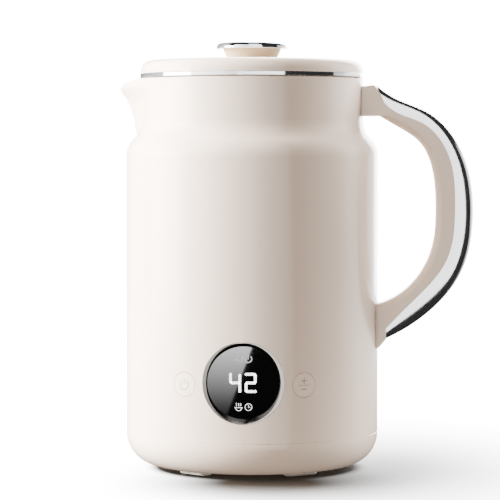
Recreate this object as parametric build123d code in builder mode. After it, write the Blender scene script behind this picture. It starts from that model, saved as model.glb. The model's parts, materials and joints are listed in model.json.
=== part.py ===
from build123d import *
import os
from math import acos, asin, atan2, cos, degrees, radians, sin, sqrt

# Electric kettle with temperature control: a glossy cylindrical casing with an ogee shoulder and a
# pouring lip, a steel liner hung inside it, a D-handle with a metal trim, a round display and two keys
# low on the front, and a lift-off lid. Millimetres, +Z up, the display faces -Y, the handle is on +X and
# the spout on -X. The origin is on the body's axis, in the plane that the feet stand on.

os.makedirs("parts", exist_ok=True)

# Fits shared by every piece
fit_gap = 0.15
seat_gap = 0.1
moving_gap = 0.3
overrun = 5.0
upright = 90.0
full_turn = 360.0

# Casing, from the table up
foot_height = 2.5
base_height = 19.2
barrel_height = 158.3
shoulder_height = 20.0
shoulder_step = 8.5
neck_height = 24.3
body_radius = 72.5
casing_wall = 2.4
rim_round = 0.8
seam_round = 0.4
base_corner = 18.0
lip_height = 4.0
lip_thickness = 1.5

# Spout: a beak of circular noses that grows out of the neck. Each row gives a section's height, its
# reach beyond the neck and its nose radius, as shares of the three sizes.
spout_height = 38.0
spout_reach = 13.0
spout_nose = 7.0
spout_sink = 0.4
spout_fall = 7.0
lip_fall = 1.7
spout_section_shares = [
    (0.00, 0.02, 2.8),
    (0.16, 0.16, 2.5),
    (0.34, 0.31, 2.1),
    (0.50, 0.43, 1.7),
    (0.63, 0.57, 1.4),
    (0.76, 0.80, 1.1),
    (0.84, 0.97, 1.0),
    (0.92, 1.00, 1.0),
    (1.15, 1.00, 1.0),
]
lip_knee_share = 0.5

# Liner, its gasket and the ledge that carries them
ledge_drop = 13.1
ledge_thickness = 1.6
ledge_gap = 0.5
gasket_height = 1.0
liner_inset = 3.6
liner_wall = 0.8
liner_corner = 8.0

# Heater under the liner. Shares are of the heater plate's radius.
bay_clearance = 1.5
heater_thickness = 3.2
element_radius_share = 0.69
element_width_share = 0.142
element_height = 6.5
element_round = 2.0
element_sweep = 300.0
terminal_radius = 2.0
terminal_length = 10.0
sensor_radius_share = 0.081
sensor_length = 10.0
sensor_flange_share = 0.142
sensor_flange_thickness = 1.5
thermostat_radius_share = 0.163
thermostat_spacing_share = 0.813
thermostat_cap = 2.0
thermostat_body_share = 0.132
thermostat_body_height = 6.0
blade_width = 4.0
blade_thickness = 0.8
blade_length = 6.0
blade_spacing_share = 0.142

# Chassis ring that pulls the liner down, its studs and nuts. Shares are of the heater plate's radius.
ring_radius_share = 0.935
ring_width_share = 0.142
ring_thickness = 4.0
column_radius = 4.0
column_angle = 40.0
column_pilot_depth = 12.0
stud_radius = 2.0
stud_length = 9.5
nut_width = 7.0
nut_height = 3.2

# Base cover. Shares are of the heater plate's radius.
boss_height = 12.0
post_height = 15.0
post_radius = 3.2
vent_count = 6
vent_radius_share = 0.447
vent_length_share = 0.244
vent_width = 2.0
foot_length = 22.0
foot_width = 8.0
foot_sink = 1.0
foot_round = 0.8

# Screws
base_screw_radius = 1.5
base_screw_head_radius = 2.9
base_screw_head_height = 2.0
base_screw_length = 18.0
small_screw_radius = 1.2
small_screw_head_radius = 2.4
small_screw_head_height = 1.6
small_screw_length = 7.0

# Power board and what stands on it. Shares are of the heater plate's radius.
board_length_share = 1.26
board_width_share = 0.976
board_thickness = 1.6
board_corner = 3.0
board_inset_share = 0.102
relay_length_share = 0.386
relay_width_share = 0.305
relay_height = 15.0
transformer_length_share = 0.407
transformer_width_share = 0.366
transformer_height = 17.0
core_width_share = 0.163
core_overhang = 1.5
capacitor_radius_share = 0.102
capacitor_height = 14.0
block_length_share = 0.366
block_width_share = 0.183
terminal_block_height = 11.0
terminal_block_step = 4.0
component_round = 0.6
component_gap_share = 0.081

# Mains inlet at the back
inlet_lift = 15.8
inlet_width = 30.0
inlet_height = 22.0
inlet_corner = 3.0
inlet_proud = 0.5
socket_width = 24.0
socket_height = 16.0
socket_depth = 17.0
socket_wall = 3.0
flange_width = 48.0
flange_thickness = 2.5
pin_width = 2.0
pin_height = 4.0
pin_spacing = 7.0
pin_step = 4.0
pin_recess = 2.0
pin_tail = 6.0
inlet_screw_inset = 4.5
inlet_boss_radius = 3.4

# Display
display_height = 55.2
bezel_radius = 22.7
bezel_land = 0.4
glass_radius = 20.5
glass_sink = 0.5
glass_thickness = 1.6
housing_depth = 9.8
housing_floor = 1.5
housing_overlap = 0.6
housing_gap = 0.2
ear_width = 7.0
ear_thickness = 2.5
module_length = 30.0
module_height = 22.0
module_thickness = 5.5
display_board_gap = 0.4

# Keys
key_height = 53.8
key_offset = 33.25
key_radius = 6.7
key_travel = 0.7
key_flange_width = 1.5
key_flange_thickness = 1.2
stem_radius = 2.2
stem_length = 5.0
plunger_radius = 1.6
plunger_length = 1.6
switch_width = 6.2
switch_height = 3.6
switch_play = 0.3
bracket_width = 7.0
bracket_length = 32.0
bracket_thickness = 1.5
bracket_screw_inset = 3.0
key_boss_radius = 3.0

# Handle, with its outlines as shares of its reach beyond the barrel and of its height
handle_drop = 2.0
handle_height = 152.3
handle_reach = 54.8
handle_width = 21.0
handle_round = 4.0
trim_round = 4.5
trim_wall = 2.0
root_top_shares = (-0.30, 0.978)
root_corner_shares = (-0.035, 0.988)
root_bottom_shares = (-0.30, 0.872)
trim_outer_shares = [
    (-0.031, 1.000),
    (0.203, 0.941),
    (0.518, 0.891),
    (0.872, 0.745),
    (1.000, 0.525),
    (0.860, 0.276),
    (0.491, 0.121),
    (0.091, 0.033),
]
trim_inner_shares = [
    (0.051, 0.930),
    (0.261, 0.875),
    (0.464, 0.846),
    (0.723, 0.738),
    (0.808, 0.532),
    (0.723, 0.333),
    (0.402, 0.188),
    (0.091, 0.073),
]
grip_inner_shares = [
    (0.018, 0.872),
    (0.228, 0.828),
    (0.438, 0.773),
    (0.584, 0.641),
    (0.604, 0.525),
    (0.562, 0.376),
    (0.361, 0.246),
    (0.002, 0.167),
]
foot_inner_shares = (-0.10, 0.130)
foot_tip_shares = (0.013, 0.000)
foot_back_shares = (-0.10, 0.000)
lower_screw_share = 0.115
handle_screw_radius = 1.9
handle_screw_head_radius = 3.2
handle_screw_head_height = 1.8
handle_screw_length = 12.0

# Lid
band_height = 2.6
band_proud = 0.4
band_depth = 4.9
cover_height = 7.5
cover_round = 6.0
cover_wall = 2.2
plug_inset = 2.3
plug_depth = 7.7
plug_floor = 3.0
plug_wall = 2.0
plug_flange_height = 2.0
plate_inset = 3.0
plate_thickness = 0.7
seal_height = 2.4
seal_seat = 1.3
seal_rise = 3.0
lid_screw_count = 3
lid_screw_inset = 14.3
lid_boss_radius = 3.4

# Knob
knob_foot_radius = 13.6
knob_top_radius = 17.3
knob_height = 6.7
cap_radius = 20.4
cap_height = 3.6
cap_round = 1.1
cap_socket = 1.2
knob_screw_radius = 2.0
knob_screw_head_radius = 4.0
knob_screw_head_height = 2.0
knob_screw_reach = 5.5

# Levels and radii that follow
seam_z = foot_height + base_height
shoulder_z = seam_z + barrel_height
neck_z = shoulder_z + shoulder_height
rim_z = neck_z + neck_height
neck_radius = body_radius - shoulder_step
inner_radius = body_radius - casing_wall
throat_radius = neck_radius - casing_wall
liner_radius = throat_radius - liner_inset
heater_radius = liner_radius - liner_corner - liner_wall
floor_z = foot_height + casing_wall
ledge_z = rim_z - ledge_drop
liner_flange_z = ledge_z + gasket_height
board_z = floor_z + post_height
board_top_z = board_z + board_thickness
spout_root_z = rim_z - spout_height
ogee_radius = (shoulder_height**2 + shoulder_step**2) / (4 * shoulder_step)
ogee_angle = asin(shoulder_height / 2 / ogee_radius)

element_radius = element_radius_share * heater_radius
element_width = element_width_share * heater_radius
sensor_radius = sensor_radius_share * heater_radius
sensor_flange_radius = sensor_flange_share * heater_radius
thermostat_radius = thermostat_radius_share * heater_radius
thermostat_body_radius = thermostat_body_share * heater_radius
thermostat_spacing = thermostat_spacing_share * heater_radius
blade_spacing = blade_spacing_share * heater_radius
ring_radius = ring_radius_share * heater_radius
ring_width = ring_width_share * heater_radius
vent_radius = vent_radius_share * heater_radius
vent_length = vent_length_share * heater_radius
board_length = board_length_share * heater_radius
board_width = board_width_share * heater_radius
board_inset = board_inset_share * heater_radius
relay_length = relay_length_share * heater_radius
relay_width = relay_width_share * heater_radius
transformer_length = transformer_length_share * heater_radius
transformer_width = transformer_width_share * heater_radius
core_width = core_width_share * heater_radius
capacitor_radius = capacitor_radius_share * heater_radius
terminal_block_length = block_length_share * heater_radius
terminal_block_width = block_width_share * heater_radius
component_gap = component_gap_share * heater_radius

glass_y = -(sqrt(body_radius**2 - bezel_radius**2) - glass_sink)
housing_y = glass_y + glass_thickness
housing_radius = bezel_radius - housing_gap
housing_bore = glass_radius - housing_overlap
ear_screw_offset = housing_radius + small_screw_head_radius + moving_gap
housing_back_y = housing_y + housing_depth

liner_z = display_height + housing_radius + bay_clearance
heater_z = liner_z - heater_thickness
ring_z = heater_z - ring_thickness

inlet_z = seam_z + inlet_lift
inlet_front_y = body_radius + inlet_proud
flange_y = sqrt(inner_radius**2 - (flange_width / 2) ** 2) - moving_gap
inlet_screw_x = flange_width / 2 - inlet_screw_inset

key_angle = degrees(asin(key_offset / body_radius))
key_flange_radius = key_radius + key_flange_width
key_flange_r = sqrt(inner_radius**2 - key_flange_radius**2) - moving_gap
stem_r = key_flange_r - key_flange_thickness - stem_length
switch_r = stem_r - key_travel - moving_gap
bracket_r = switch_r - switch_height
bracket_screw_offset = bracket_length / 2 - bracket_screw_inset

handle_z = rim_z - handle_drop - handle_height
upper_screw_z = ledge_z - ledge_thickness - handle_screw_head_radius - moving_gap
lower_screw_z = handle_z + lower_screw_share * handle_height

lid_z = rim_z + moving_gap
cover_z = lid_z + band_height
cover_top_z = cover_z + cover_height
plug_z = lid_z - plug_depth
plug_radius = throat_radius - plug_inset
lid_screw_circle = plug_radius - lid_screw_inset
knob_z = cover_top_z + knob_height


def body_shape(inset, bottom, top):
    """Solid of revolution with the casing's outer line, moved inwards: barrel, ogee shoulder, neck."""
    outer = body_radius - inset
    neck = neck_radius - inset
    lower_centre = (body_radius - ogee_radius, shoulder_z)
    upper_centre = (neck_radius + ogee_radius, neck_z)
    lower_arc = ogee_radius - inset
    upper_arc = ogee_radius + inset
    half = ogee_angle / 2
    middle = (
        lower_centre[0] + lower_arc * cos(ogee_angle),
        lower_centre[1] + lower_arc * sin(ogee_angle),
    )
    lower_point = (lower_centre[0] + lower_arc * cos(half), lower_centre[1] + lower_arc * sin(half))
    upper_point = (upper_centre[0] - upper_arc * cos(half), upper_centre[1] - upper_arc * sin(half))
    with BuildPart() as shape:
        with BuildSketch(Plane.XZ):
            with BuildLine():
                Polyline((outer, shoulder_z), (outer, bottom), (0, bottom), (0, top), (neck, top))
                Line((neck, top), (neck, neck_z))
                ThreePointArc((neck, neck_z), upper_point, middle)
                ThreePointArc(middle, lower_point, (outer, shoulder_z))
            make_face()
        revolve(axis=Axis.Z)
    return shape.part


def spout_shape(inset):
    """Beak of the spout: each section is the neck's circle and a small nose, joined by tangents."""
    ring = neck_radius - inset - spout_sink
    with BuildPart() as beak:
        for height_share, reach_share, nose_share in spout_section_shares:
            nose = nose_share * spout_nose - inset
            tip = neck_radius - inset + reach_share * spout_reach
            centre = tip - nose
            turn = acos((ring - nose) / centre)
            shoulder = (-ring * cos(turn), ring * sin(turn))
            cheek = (-centre - nose * cos(turn), nose * sin(turn))
            with BuildSketch(Plane.XY.offset(spout_root_z + height_share * spout_height)):
                with BuildLine():
                    Line((shoulder[0], -shoulder[1]), shoulder)
                    Line(shoulder, cheek)
                    ThreePointArc(cheek, (-tip, 0), (cheek[0], -cheek[1]))
                    Line((cheek[0], -cheek[1]), (shoulder[0], -shoulder[1]))
                make_face()
        loft()
    return beak.part


def above_rim():
    """Everything above the rim, which falls in a curve from the neck to the tip of the spout."""
    knee = (-neck_radius - lip_knee_share * spout_reach, rim_z - lip_fall)
    tip = (-neck_radius - spout_reach, rim_z - spout_fall)
    far = neck_radius + spout_reach + overrun
    slope = (knee[0] + neck_radius, knee[1] - rim_z)
    with BuildPart() as cutter:
        with BuildSketch(Plane.XZ):
            with BuildLine():
                Line((far, rim_z), (-neck_radius, rim_z))
                Line((-neck_radius, rim_z), knee)
                arc = TangentArc(knee, tip, tangent=slope)
                Polyline(arc @ 1, (-far, tip[1]), (-far, rim_z + spout_height), (far, rim_z + spout_height))
                Line((far, rim_z + spout_height), (far, rim_z))
            make_face()
        extrude(amount=far, both=True)
    return cutter.part


def key_plane(side):
    """Plane on the body's axis at the keys' height, whose normal points out through one key."""
    turn = radians(side * key_angle)
    return Plane(
        origin=(0, 0, key_height),
        x_dir=(cos(turn), sin(turn), 0),
        z_dir=(sin(turn), -cos(turn), 0),
    )


def handle_point(shares, inset=0):
    """Point of the handle's side view from its shares, with the whole outline drawn in by an inset."""
    return (
        body_radius + shares[0] * (handle_reach - inset),
        handle_z + inset + shares[1] * (handle_height - 2 * inset),
    )


def trim_outline(inset=0):
    """Closed outline between the trim's outer curve and the line where it meets the grip."""
    outer = [handle_point(shares, inset) for shares in trim_outer_shares]
    inner = [handle_point(shares) for shares in trim_inner_shares]
    Spline(*outer)
    Line(outer[-1], inner[-1])
    Spline(*reversed(inner))
    Line(inner[0], outer[0])


corners = [(-1, -1), (1, -1), (1, 1), (-1, 1)]
column_x = ring_radius * sin(radians(column_angle))
column_y = ring_radius * cos(radians(column_angle))
columns = [(x * column_x, y * column_y) for x, y in corners]
post_x = board_length / 2 - board_inset
post_y = board_width / 2 - board_inset
posts = [(x * post_x, y * post_y) for x, y in corners]

outer_solid = body_shape(0, seam_z, rim_z)
spout_solid = spout_shape(0)
rim_cutter = above_rim()

# Outer casing: one moulding with the barrel, the ogee shoulder, the neck, the spout and the ledge
with BuildPart() as ledge:
    add(outer_solid)
    add(spout_solid)
    with BuildSketch(Plane.XY.offset(ledge_z - ledge_thickness)):
        Circle(neck_radius + spout_reach + overrun)
        Circle(liner_radius + ledge_gap, mode=Mode.SUBTRACT)
    extrude(amount=ledge_thickness, mode=Mode.INTERSECT)

with BuildPart() as outer_casing:
    add(outer_solid)
    add(spout_solid)
    add(rim_cutter, mode=Mode.SUBTRACT)
    add(body_shape(casing_wall, seam_z - overrun, rim_z + overrun), mode=Mode.SUBTRACT)
    add(spout_shape(casing_wall), mode=Mode.SUBTRACT)
    rim_edges = outer_casing.edges().filter_by(lambda edge: edge.center().Z > rim_z - spout_fall - rim_round)
    fillet(rim_edges, radius=rim_round)
    add(ledge.part)
    # Bosses for the display's ears, the key brackets and the inlet
    with BuildSketch(Plane.XZ.offset(-housing_y)):
        with Locations((0, display_height + ear_screw_offset), (0, display_height - ear_screw_offset)):
            Circle(ear_width / 2)
    extrude(amount=inner_radius + housing_y + casing_wall / 2)
    for side in (-1, 1):
        with BuildSketch(key_plane(side).offset(bracket_r)):
            with Locations((0, bracket_screw_offset), (0, -bracket_screw_offset)):
                Circle(key_boss_radius)
        extrude(amount=inner_radius - bracket_r)
    with BuildSketch(Plane.XZ.offset(-flange_y)):
        with Locations((inlet_screw_x, inlet_z), (-inlet_screw_x, inlet_z)):
            Circle(inlet_boss_radius)
    extrude(amount=-(sqrt(inner_radius**2 - inlet_screw_x**2) - flange_y + casing_wall / 2))
    # Openings for the display, the keys, the inlet and the handle's screws
    with BuildSketch(Plane.XZ.offset(-housing_back_y)):
        with Locations((0, display_height)):
            Circle(bezel_radius + fit_gap)
    extrude(amount=body_radius, mode=Mode.SUBTRACT)
    for side in (-1, 1):
        with BuildSketch(key_plane(side).offset(switch_r)):
            Circle(key_radius + moving_gap)
        extrude(amount=body_radius, mode=Mode.SUBTRACT)
    with BuildSketch(Plane.XZ.offset(-flange_y)):
        with Locations((0, inlet_z)):
            RectangleRounded(inlet_width + 2 * fit_gap, inlet_height + 2 * fit_gap, inlet_corner + fit_gap)
    extrude(amount=-body_radius, mode=Mode.SUBTRACT)
    with BuildSketch(Plane.YZ):
        with Locations((0, upper_screw_z), (0, lower_screw_z)):
            Circle(handle_screw_radius + fit_gap)
    extrude(amount=body_radius + overrun, mode=Mode.SUBTRACT)
    # Pilot holes in the bosses
    with BuildSketch(Plane.XZ.offset(-housing_y)):
        with Locations((0, display_height + ear_screw_offset), (0, display_height - ear_screw_offset)):
            Circle(small_screw_radius + seat_gap)
    extrude(amount=small_screw_length - ear_thickness, mode=Mode.SUBTRACT)
    for side in (-1, 1):
        with BuildSketch(key_plane(side).offset(bracket_r)):
            with Locations((0, bracket_screw_offset), (0, -bracket_screw_offset)):
                Circle(small_screw_radius + seat_gap)
        extrude(amount=small_screw_length, mode=Mode.SUBTRACT)
outer_casing.part.label = "outer_casing"
export_step(outer_casing.part, "parts/outer_casing.step")

# Base cover: a dish with a rounded foot edge, a lip inside the casing, bosses, posts and vents
with BuildPart() as base_cover:
    with BuildSketch(Plane.XZ):
        with BuildLine():
            Polyline((body_radius - base_corner, foot_height), (0, foot_height), (0, floor_z))
            Line((0, floor_z), (body_radius - base_corner, floor_z))
            RadiusArc(
                (body_radius - base_corner, floor_z),
                (inner_radius, foot_height + base_corner),
                -(base_corner - casing_wall),
            )
            Polyline(
                (inner_radius, foot_height + base_corner),
                (inner_radius, seam_z - lip_height),
                (inner_radius - lip_thickness, seam_z - lip_height + lip_thickness),
                (inner_radius - lip_thickness, seam_z + lip_height),
                (inner_radius - fit_gap, seam_z + lip_height),
                (inner_radius - fit_gap, seam_z),
                (body_radius - seam_round, seam_z),
                (body_radius, seam_z - seam_round),
                (body_radius, foot_height + base_corner),
            )
            RadiusArc(
                (body_radius, foot_height + base_corner),
                (body_radius - base_corner, foot_height),
                base_corner,
            )
        make_face()
    revolve(axis=Axis.Z)
    with BuildSketch(Plane.XY.offset(floor_z)):
        with Locations(*columns):
            Circle(column_radius)
    extrude(amount=boss_height)
    with BuildSketch(Plane.XY.offset(floor_z)):
        with Locations(*posts):
            Circle(post_radius)
    extrude(amount=post_height)
    with BuildSketch(Plane.XY.offset(foot_height)):
        for x, y in columns:
            with Locations((x, y)):
                SlotOverall(foot_length, foot_width, degrees(atan2(x, -y)))
    extrude(amount=foot_sink, mode=Mode.SUBTRACT)
    with BuildSketch(Plane.XY.offset(foot_height)):
        with Locations(*columns):
            Circle(base_screw_radius + fit_gap)
    extrude(amount=casing_wall + boss_height, mode=Mode.SUBTRACT)
    with BuildSketch(Plane.XY.offset(foot_height)):
        with Locations(*columns):
            Circle(base_screw_head_radius + fit_gap)
    extrude(amount=foot_sink + base_screw_head_height, mode=Mode.SUBTRACT)
    with BuildSketch(Plane.XY.offset(board_z)):
        with Locations(*posts):
            Circle(small_screw_radius + seat_gap)
    extrude(amount=-small_screw_length, mode=Mode.SUBTRACT)
    with BuildSketch(Plane.XY.offset(foot_height)):
        with PolarLocations(vent_radius, vent_count):
            SlotOverall(vent_length, vent_width)
    extrude(amount=casing_wall, mode=Mode.SUBTRACT)
base_cover.part.label = "base_cover"
export_step(base_cover.part, "parts/base_cover.step")

# Feet: four soft pads that sit in shallow recesses and hide the base screws
foot_names = ["front_left_foot", "front_right_foot", "rear_right_foot", "rear_left_foot"]
for foot_name, (x, y) in zip(foot_names, columns):
    with BuildPart() as foot:
        with BuildSketch(Plane.XY):
            with Locations((x, y)):
                SlotOverall(foot_length - 2 * fit_gap, foot_width - 2 * fit_gap, degrees(atan2(x, -y)))
        extrude(amount=foot_height + foot_sink)
        fillet(foot.edges().group_by(Axis.Z)[0], radius=foot_round)
    foot.part.label = foot_name
    export_step(foot.part, f"parts/{foot_name}.step")

# Base screws: heads in the counterbores, shanks up through the bosses into the chassis columns
with BuildPart() as base_screws:
    head_z = foot_height + foot_sink
    with BuildSketch(Plane.XY.offset(head_z)):
        with Locations(*columns):
            Circle(base_screw_head_radius)
    extrude(amount=base_screw_head_height)
    with BuildSketch(Plane.XY.offset(head_z + base_screw_head_height)):
        with Locations(*columns):
            Circle(base_screw_radius)
    extrude(amount=base_screw_length)
base_screws.part.label = "base_screws"
export_step(base_screws.part, "parts/base_screws.step")

# Liner: a deep-drawn pot with a rounded foot and a flange that lies on the gasket
with BuildPart() as liner:
    with BuildSketch(Plane.XZ):
        with BuildLine():
            flat = liner_radius - liner_corner
            corner_z = liner_z + liner_corner
            inner = liner_radius - liner_wall
            inner_corner = liner_corner - liner_wall
            Line((0, liner_z), (flat, liner_z))
            RadiusArc((flat, liner_z), (liner_radius, corner_z), -liner_corner)
            Polyline(
                (liner_radius, corner_z),
                (liner_radius, liner_flange_z),
                (throat_radius - moving_gap, liner_flange_z),
                (throat_radius - moving_gap, liner_flange_z + liner_wall),
                (inner, liner_flange_z + liner_wall),
                (inner, corner_z),
            )
            RadiusArc((inner, corner_z), (flat, liner_z + liner_wall), inner_corner)
            Polyline((flat, liner_z + liner_wall), (0, liner_z + liner_wall), (0, liner_z))
        make_face()
    revolve(axis=Axis.Z)
liner.part.label = "liner"
export_step(liner.part, "parts/liner.step")

# Gasket: a flat silicone ring between the liner's flange and the casing's ledge
with BuildPart() as liner_gasket:
    with BuildSketch(Plane.XY.offset(ledge_z)):
        Circle(throat_radius - moving_gap)
        Circle(liner_radius + ledge_gap, mode=Mode.SUBTRACT)
    extrude(amount=gasket_height)
liner_gasket.part.label = "liner_gasket"
export_step(liner_gasket.part, "parts/liner_gasket.step")

# Heater plate: an aluminium disc brazed under the liner, with a hole for the sensor
with BuildPart() as heater_plate:
    with BuildSketch(Plane.XY.offset(heater_z)):
        Circle(heater_radius)
        Circle(sensor_radius + fit_gap, mode=Mode.SUBTRACT)
    extrude(amount=heater_thickness)
heater_plate.part.label = "heater_plate"
export_step(heater_plate.part, "parts/heater_plate.step")

# Heating element: a flat-topped ring, open at the back, with a cold pin at each end
with BuildPart() as heating_element:
    element_start = upright + (full_turn - element_sweep) / 2
    ring_section = Plane(
        origin=(0, 0, heater_z - element_height),
        x_dir=(cos(radians(element_start)), sin(radians(element_start)), 0),
        z_dir=(sin(radians(element_start)), -cos(radians(element_start)), 0),
    )
    with BuildSketch(ring_section) as element_profile:
        with Locations((element_radius, element_height / 2)):
            Rectangle(element_width, element_height)
        fillet(element_profile.vertices().group_by(Axis.Z)[0], radius=element_round)
    revolve(axis=Axis.Z, revolution_arc=element_sweep)
    pin_turn = element_width / 2 / element_radius
    pin_angles = [radians(element_start) + pin_turn, radians(element_start + element_sweep) - pin_turn]
    with BuildSketch(Plane.XY.offset(heater_z - element_height / 2)):
        with Locations(*[(element_radius * cos(turn), element_radius * sin(turn)) for turn in pin_angles]):
            Circle(terminal_radius)
    extrude(amount=-(element_height / 2 + terminal_length))
heating_element.part.label = "heating_element"
export_step(heating_element.part, "parts/heating_element.step")

# Temperature sensor: a flanged probe pressed against the liner through the plate's hole
with BuildPart() as temperature_sensor:
    with BuildSketch(Plane.XY.offset(liner_z)):
        Circle(sensor_radius)
    extrude(amount=-(heater_thickness + sensor_length))
    with BuildSketch(Plane.XY.offset(heater_z)):
        Circle(sensor_flange_radius)
    extrude(amount=-sensor_flange_thickness)
temperature_sensor.part.label = "temperature_sensor"
export_step(temperature_sensor.part, "parts/temperature_sensor.step")

# Thermostats: two snap-disc cut-outs under the plate, each with its body and two blades
with BuildPart() as thermostats:
    spots = [(-thermostat_spacing / 2, 0), (thermostat_spacing / 2, 0)]
    with BuildSketch(Plane.XY.offset(heater_z)):
        with Locations(*spots):
            Circle(thermostat_radius)
    extrude(amount=-thermostat_cap)
    with BuildSketch(Plane.XY.offset(heater_z - thermostat_cap)):
        with Locations(*spots):
            Circle(thermostat_body_radius)
    extrude(amount=-thermostat_body_height)
    with BuildSketch(Plane.XY.offset(heater_z - thermostat_cap - thermostat_body_height)):
        with Locations(*spots):
            with GridLocations(blade_spacing, 0, 2, 1):
                Rectangle(blade_thickness, blade_width)
    extrude(amount=-blade_length)
thermostats.part.label = "thermostats"
export_step(thermostats.part, "parts/thermostats.step")

# Chassis: a ring that bears on the heater plate, on four columns that stand over the base bosses
with BuildPart() as chassis:
    with BuildSketch(Plane.XY.offset(ring_z)):
        Circle(ring_radius + ring_width / 2)
        Circle(ring_radius - ring_width / 2, mode=Mode.SUBTRACT)
        with PolarLocations(ring_radius, 4):
            Circle(stud_radius + fit_gap, mode=Mode.SUBTRACT)
    extrude(amount=ring_thickness)
    with BuildSketch(Plane.XY.offset(floor_z + boss_height)):
        with Locations(*columns):
            Circle(column_radius)
    extrude(amount=ring_z - floor_z - boss_height)
    with BuildSketch(Plane.XY.offset(floor_z + boss_height)):
        with Locations(*columns):
            Circle(base_screw_radius + seat_gap)
    extrude(amount=column_pilot_depth, mode=Mode.SUBTRACT)
chassis.part.label = "chassis"
export_step(chassis.part, "parts/chassis.step")

# Studs under the heater plate and the nuts that draw it down onto the chassis
with BuildPart() as liner_studs:
    with BuildSketch(Plane.XY.offset(heater_z)):
        with PolarLocations(ring_radius, 4):
            Circle(stud_radius)
    extrude(amount=-stud_length)
liner_studs.part.label = "liner_studs"
export_step(liner_studs.part, "parts/liner_studs.step")

with BuildPart() as liner_nuts:
    with BuildSketch(Plane.XY.offset(ring_z)):
        with PolarLocations(ring_radius, 4):
            RegularPolygon(nut_width / 2, 6, major_radius=False)
            Circle(stud_radius + seat_gap, mode=Mode.SUBTRACT)
    extrude(amount=-nut_height)
liner_nuts.part.label = "liner_nuts"
export_step(liner_nuts.part, "parts/liner_nuts.step")

# Power board on its four posts
with BuildPart() as power_board:
    with BuildSketch(Plane.XY.offset(board_z)):
        RectangleRounded(board_length, board_width, board_corner)
        with Locations(*posts):
            Circle(small_screw_radius + fit_gap, mode=Mode.SUBTRACT)
    extrude(amount=board_thickness)
power_board.part.label = "power_board"
export_step(power_board.part, "parts/power_board.step")

with BuildPart() as board_screws:
    with BuildSketch(Plane.XY.offset(board_top_z)):
        with Locations(*posts):
            Circle(small_screw_head_radius)
    extrude(amount=small_screw_head_height)
    with BuildSketch(Plane.XY.offset(board_top_z)):
        with Locations(*posts):
            Circle(small_screw_radius)
    extrude(amount=-(small_screw_length - board_thickness))
board_screws.part.label = "board_screws"
export_step(board_screws.part, "parts/board_screws.step")

# Relay in the board's rear right quarter
with BuildPart() as relay:
    with BuildSketch(Plane.XY.offset(board_top_z)):
        with Locations((component_gap / 2 + relay_length / 2, component_gap / 2 + relay_width / 2)):
            Rectangle(relay_length, relay_width)
    extrude(amount=relay_height)
    fillet(relay.edges().filter_by(Axis.Z), radius=component_round)
    fillet(relay.faces().sort_by(Axis.Z)[-1].edges(), radius=component_round)
relay.part.label = "relay"
export_step(relay.part, "parts/relay.step")

# Transformer: a laminated core that stands proud of its wound bobbin
with BuildPart() as transformer:
    middle = (-component_gap / 2 - transformer_length / 2, -transformer_width / 2)
    with BuildSketch(Plane.XY.offset(board_top_z)):
        with Locations(middle):
            Rectangle(transformer_length, transformer_width)
    extrude(amount=transformer_height)
    with BuildSketch(Plane.XY.offset(board_top_z + core_overhang)):
        with Locations(middle):
            Rectangle(core_width, transformer_width + 2 * core_overhang)
    extrude(amount=transformer_height)
transformer.part.label = "transformer"
export_step(transformer.part, "parts/transformer.step")

with BuildPart() as capacitor:
    with BuildSketch(Plane.XY.offset(board_top_z)):
        with Locations((component_gap / 2 + 2 * capacitor_radius, -component_gap - capacitor_radius)):
            Circle(capacitor_radius)
    extrude(amount=capacitor_height)
    fillet(capacitor.faces().sort_by(Axis.Z)[-1].edges(), radius=component_round)
capacitor.part.label = "capacitor"
export_step(capacitor.part, "parts/capacitor.step")

# Terminal block at the board's rear left, stepped down towards the inlet
with BuildPart() as terminal_block:
    block_x = -component_gap / 2 - terminal_block_length / 2
    block_y = component_gap + terminal_block_width / 2
    with BuildSketch(Plane.XY.offset(board_top_z)):
        with Locations((block_x, block_y)):
            Rectangle(terminal_block_length, terminal_block_width)
    extrude(amount=terminal_block_height)
    with BuildSketch(Plane.XY.offset(board_top_z + terminal_block_height)):
        with Locations((block_x, block_y + terminal_block_width / 4)):
            Rectangle(terminal_block_length, terminal_block_width / 2)
    extrude(amount=-terminal_block_step, mode=Mode.SUBTRACT)
terminal_block.part.label = "terminal_block"
export_step(terminal_block.part, "parts/terminal_block.step")

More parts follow.
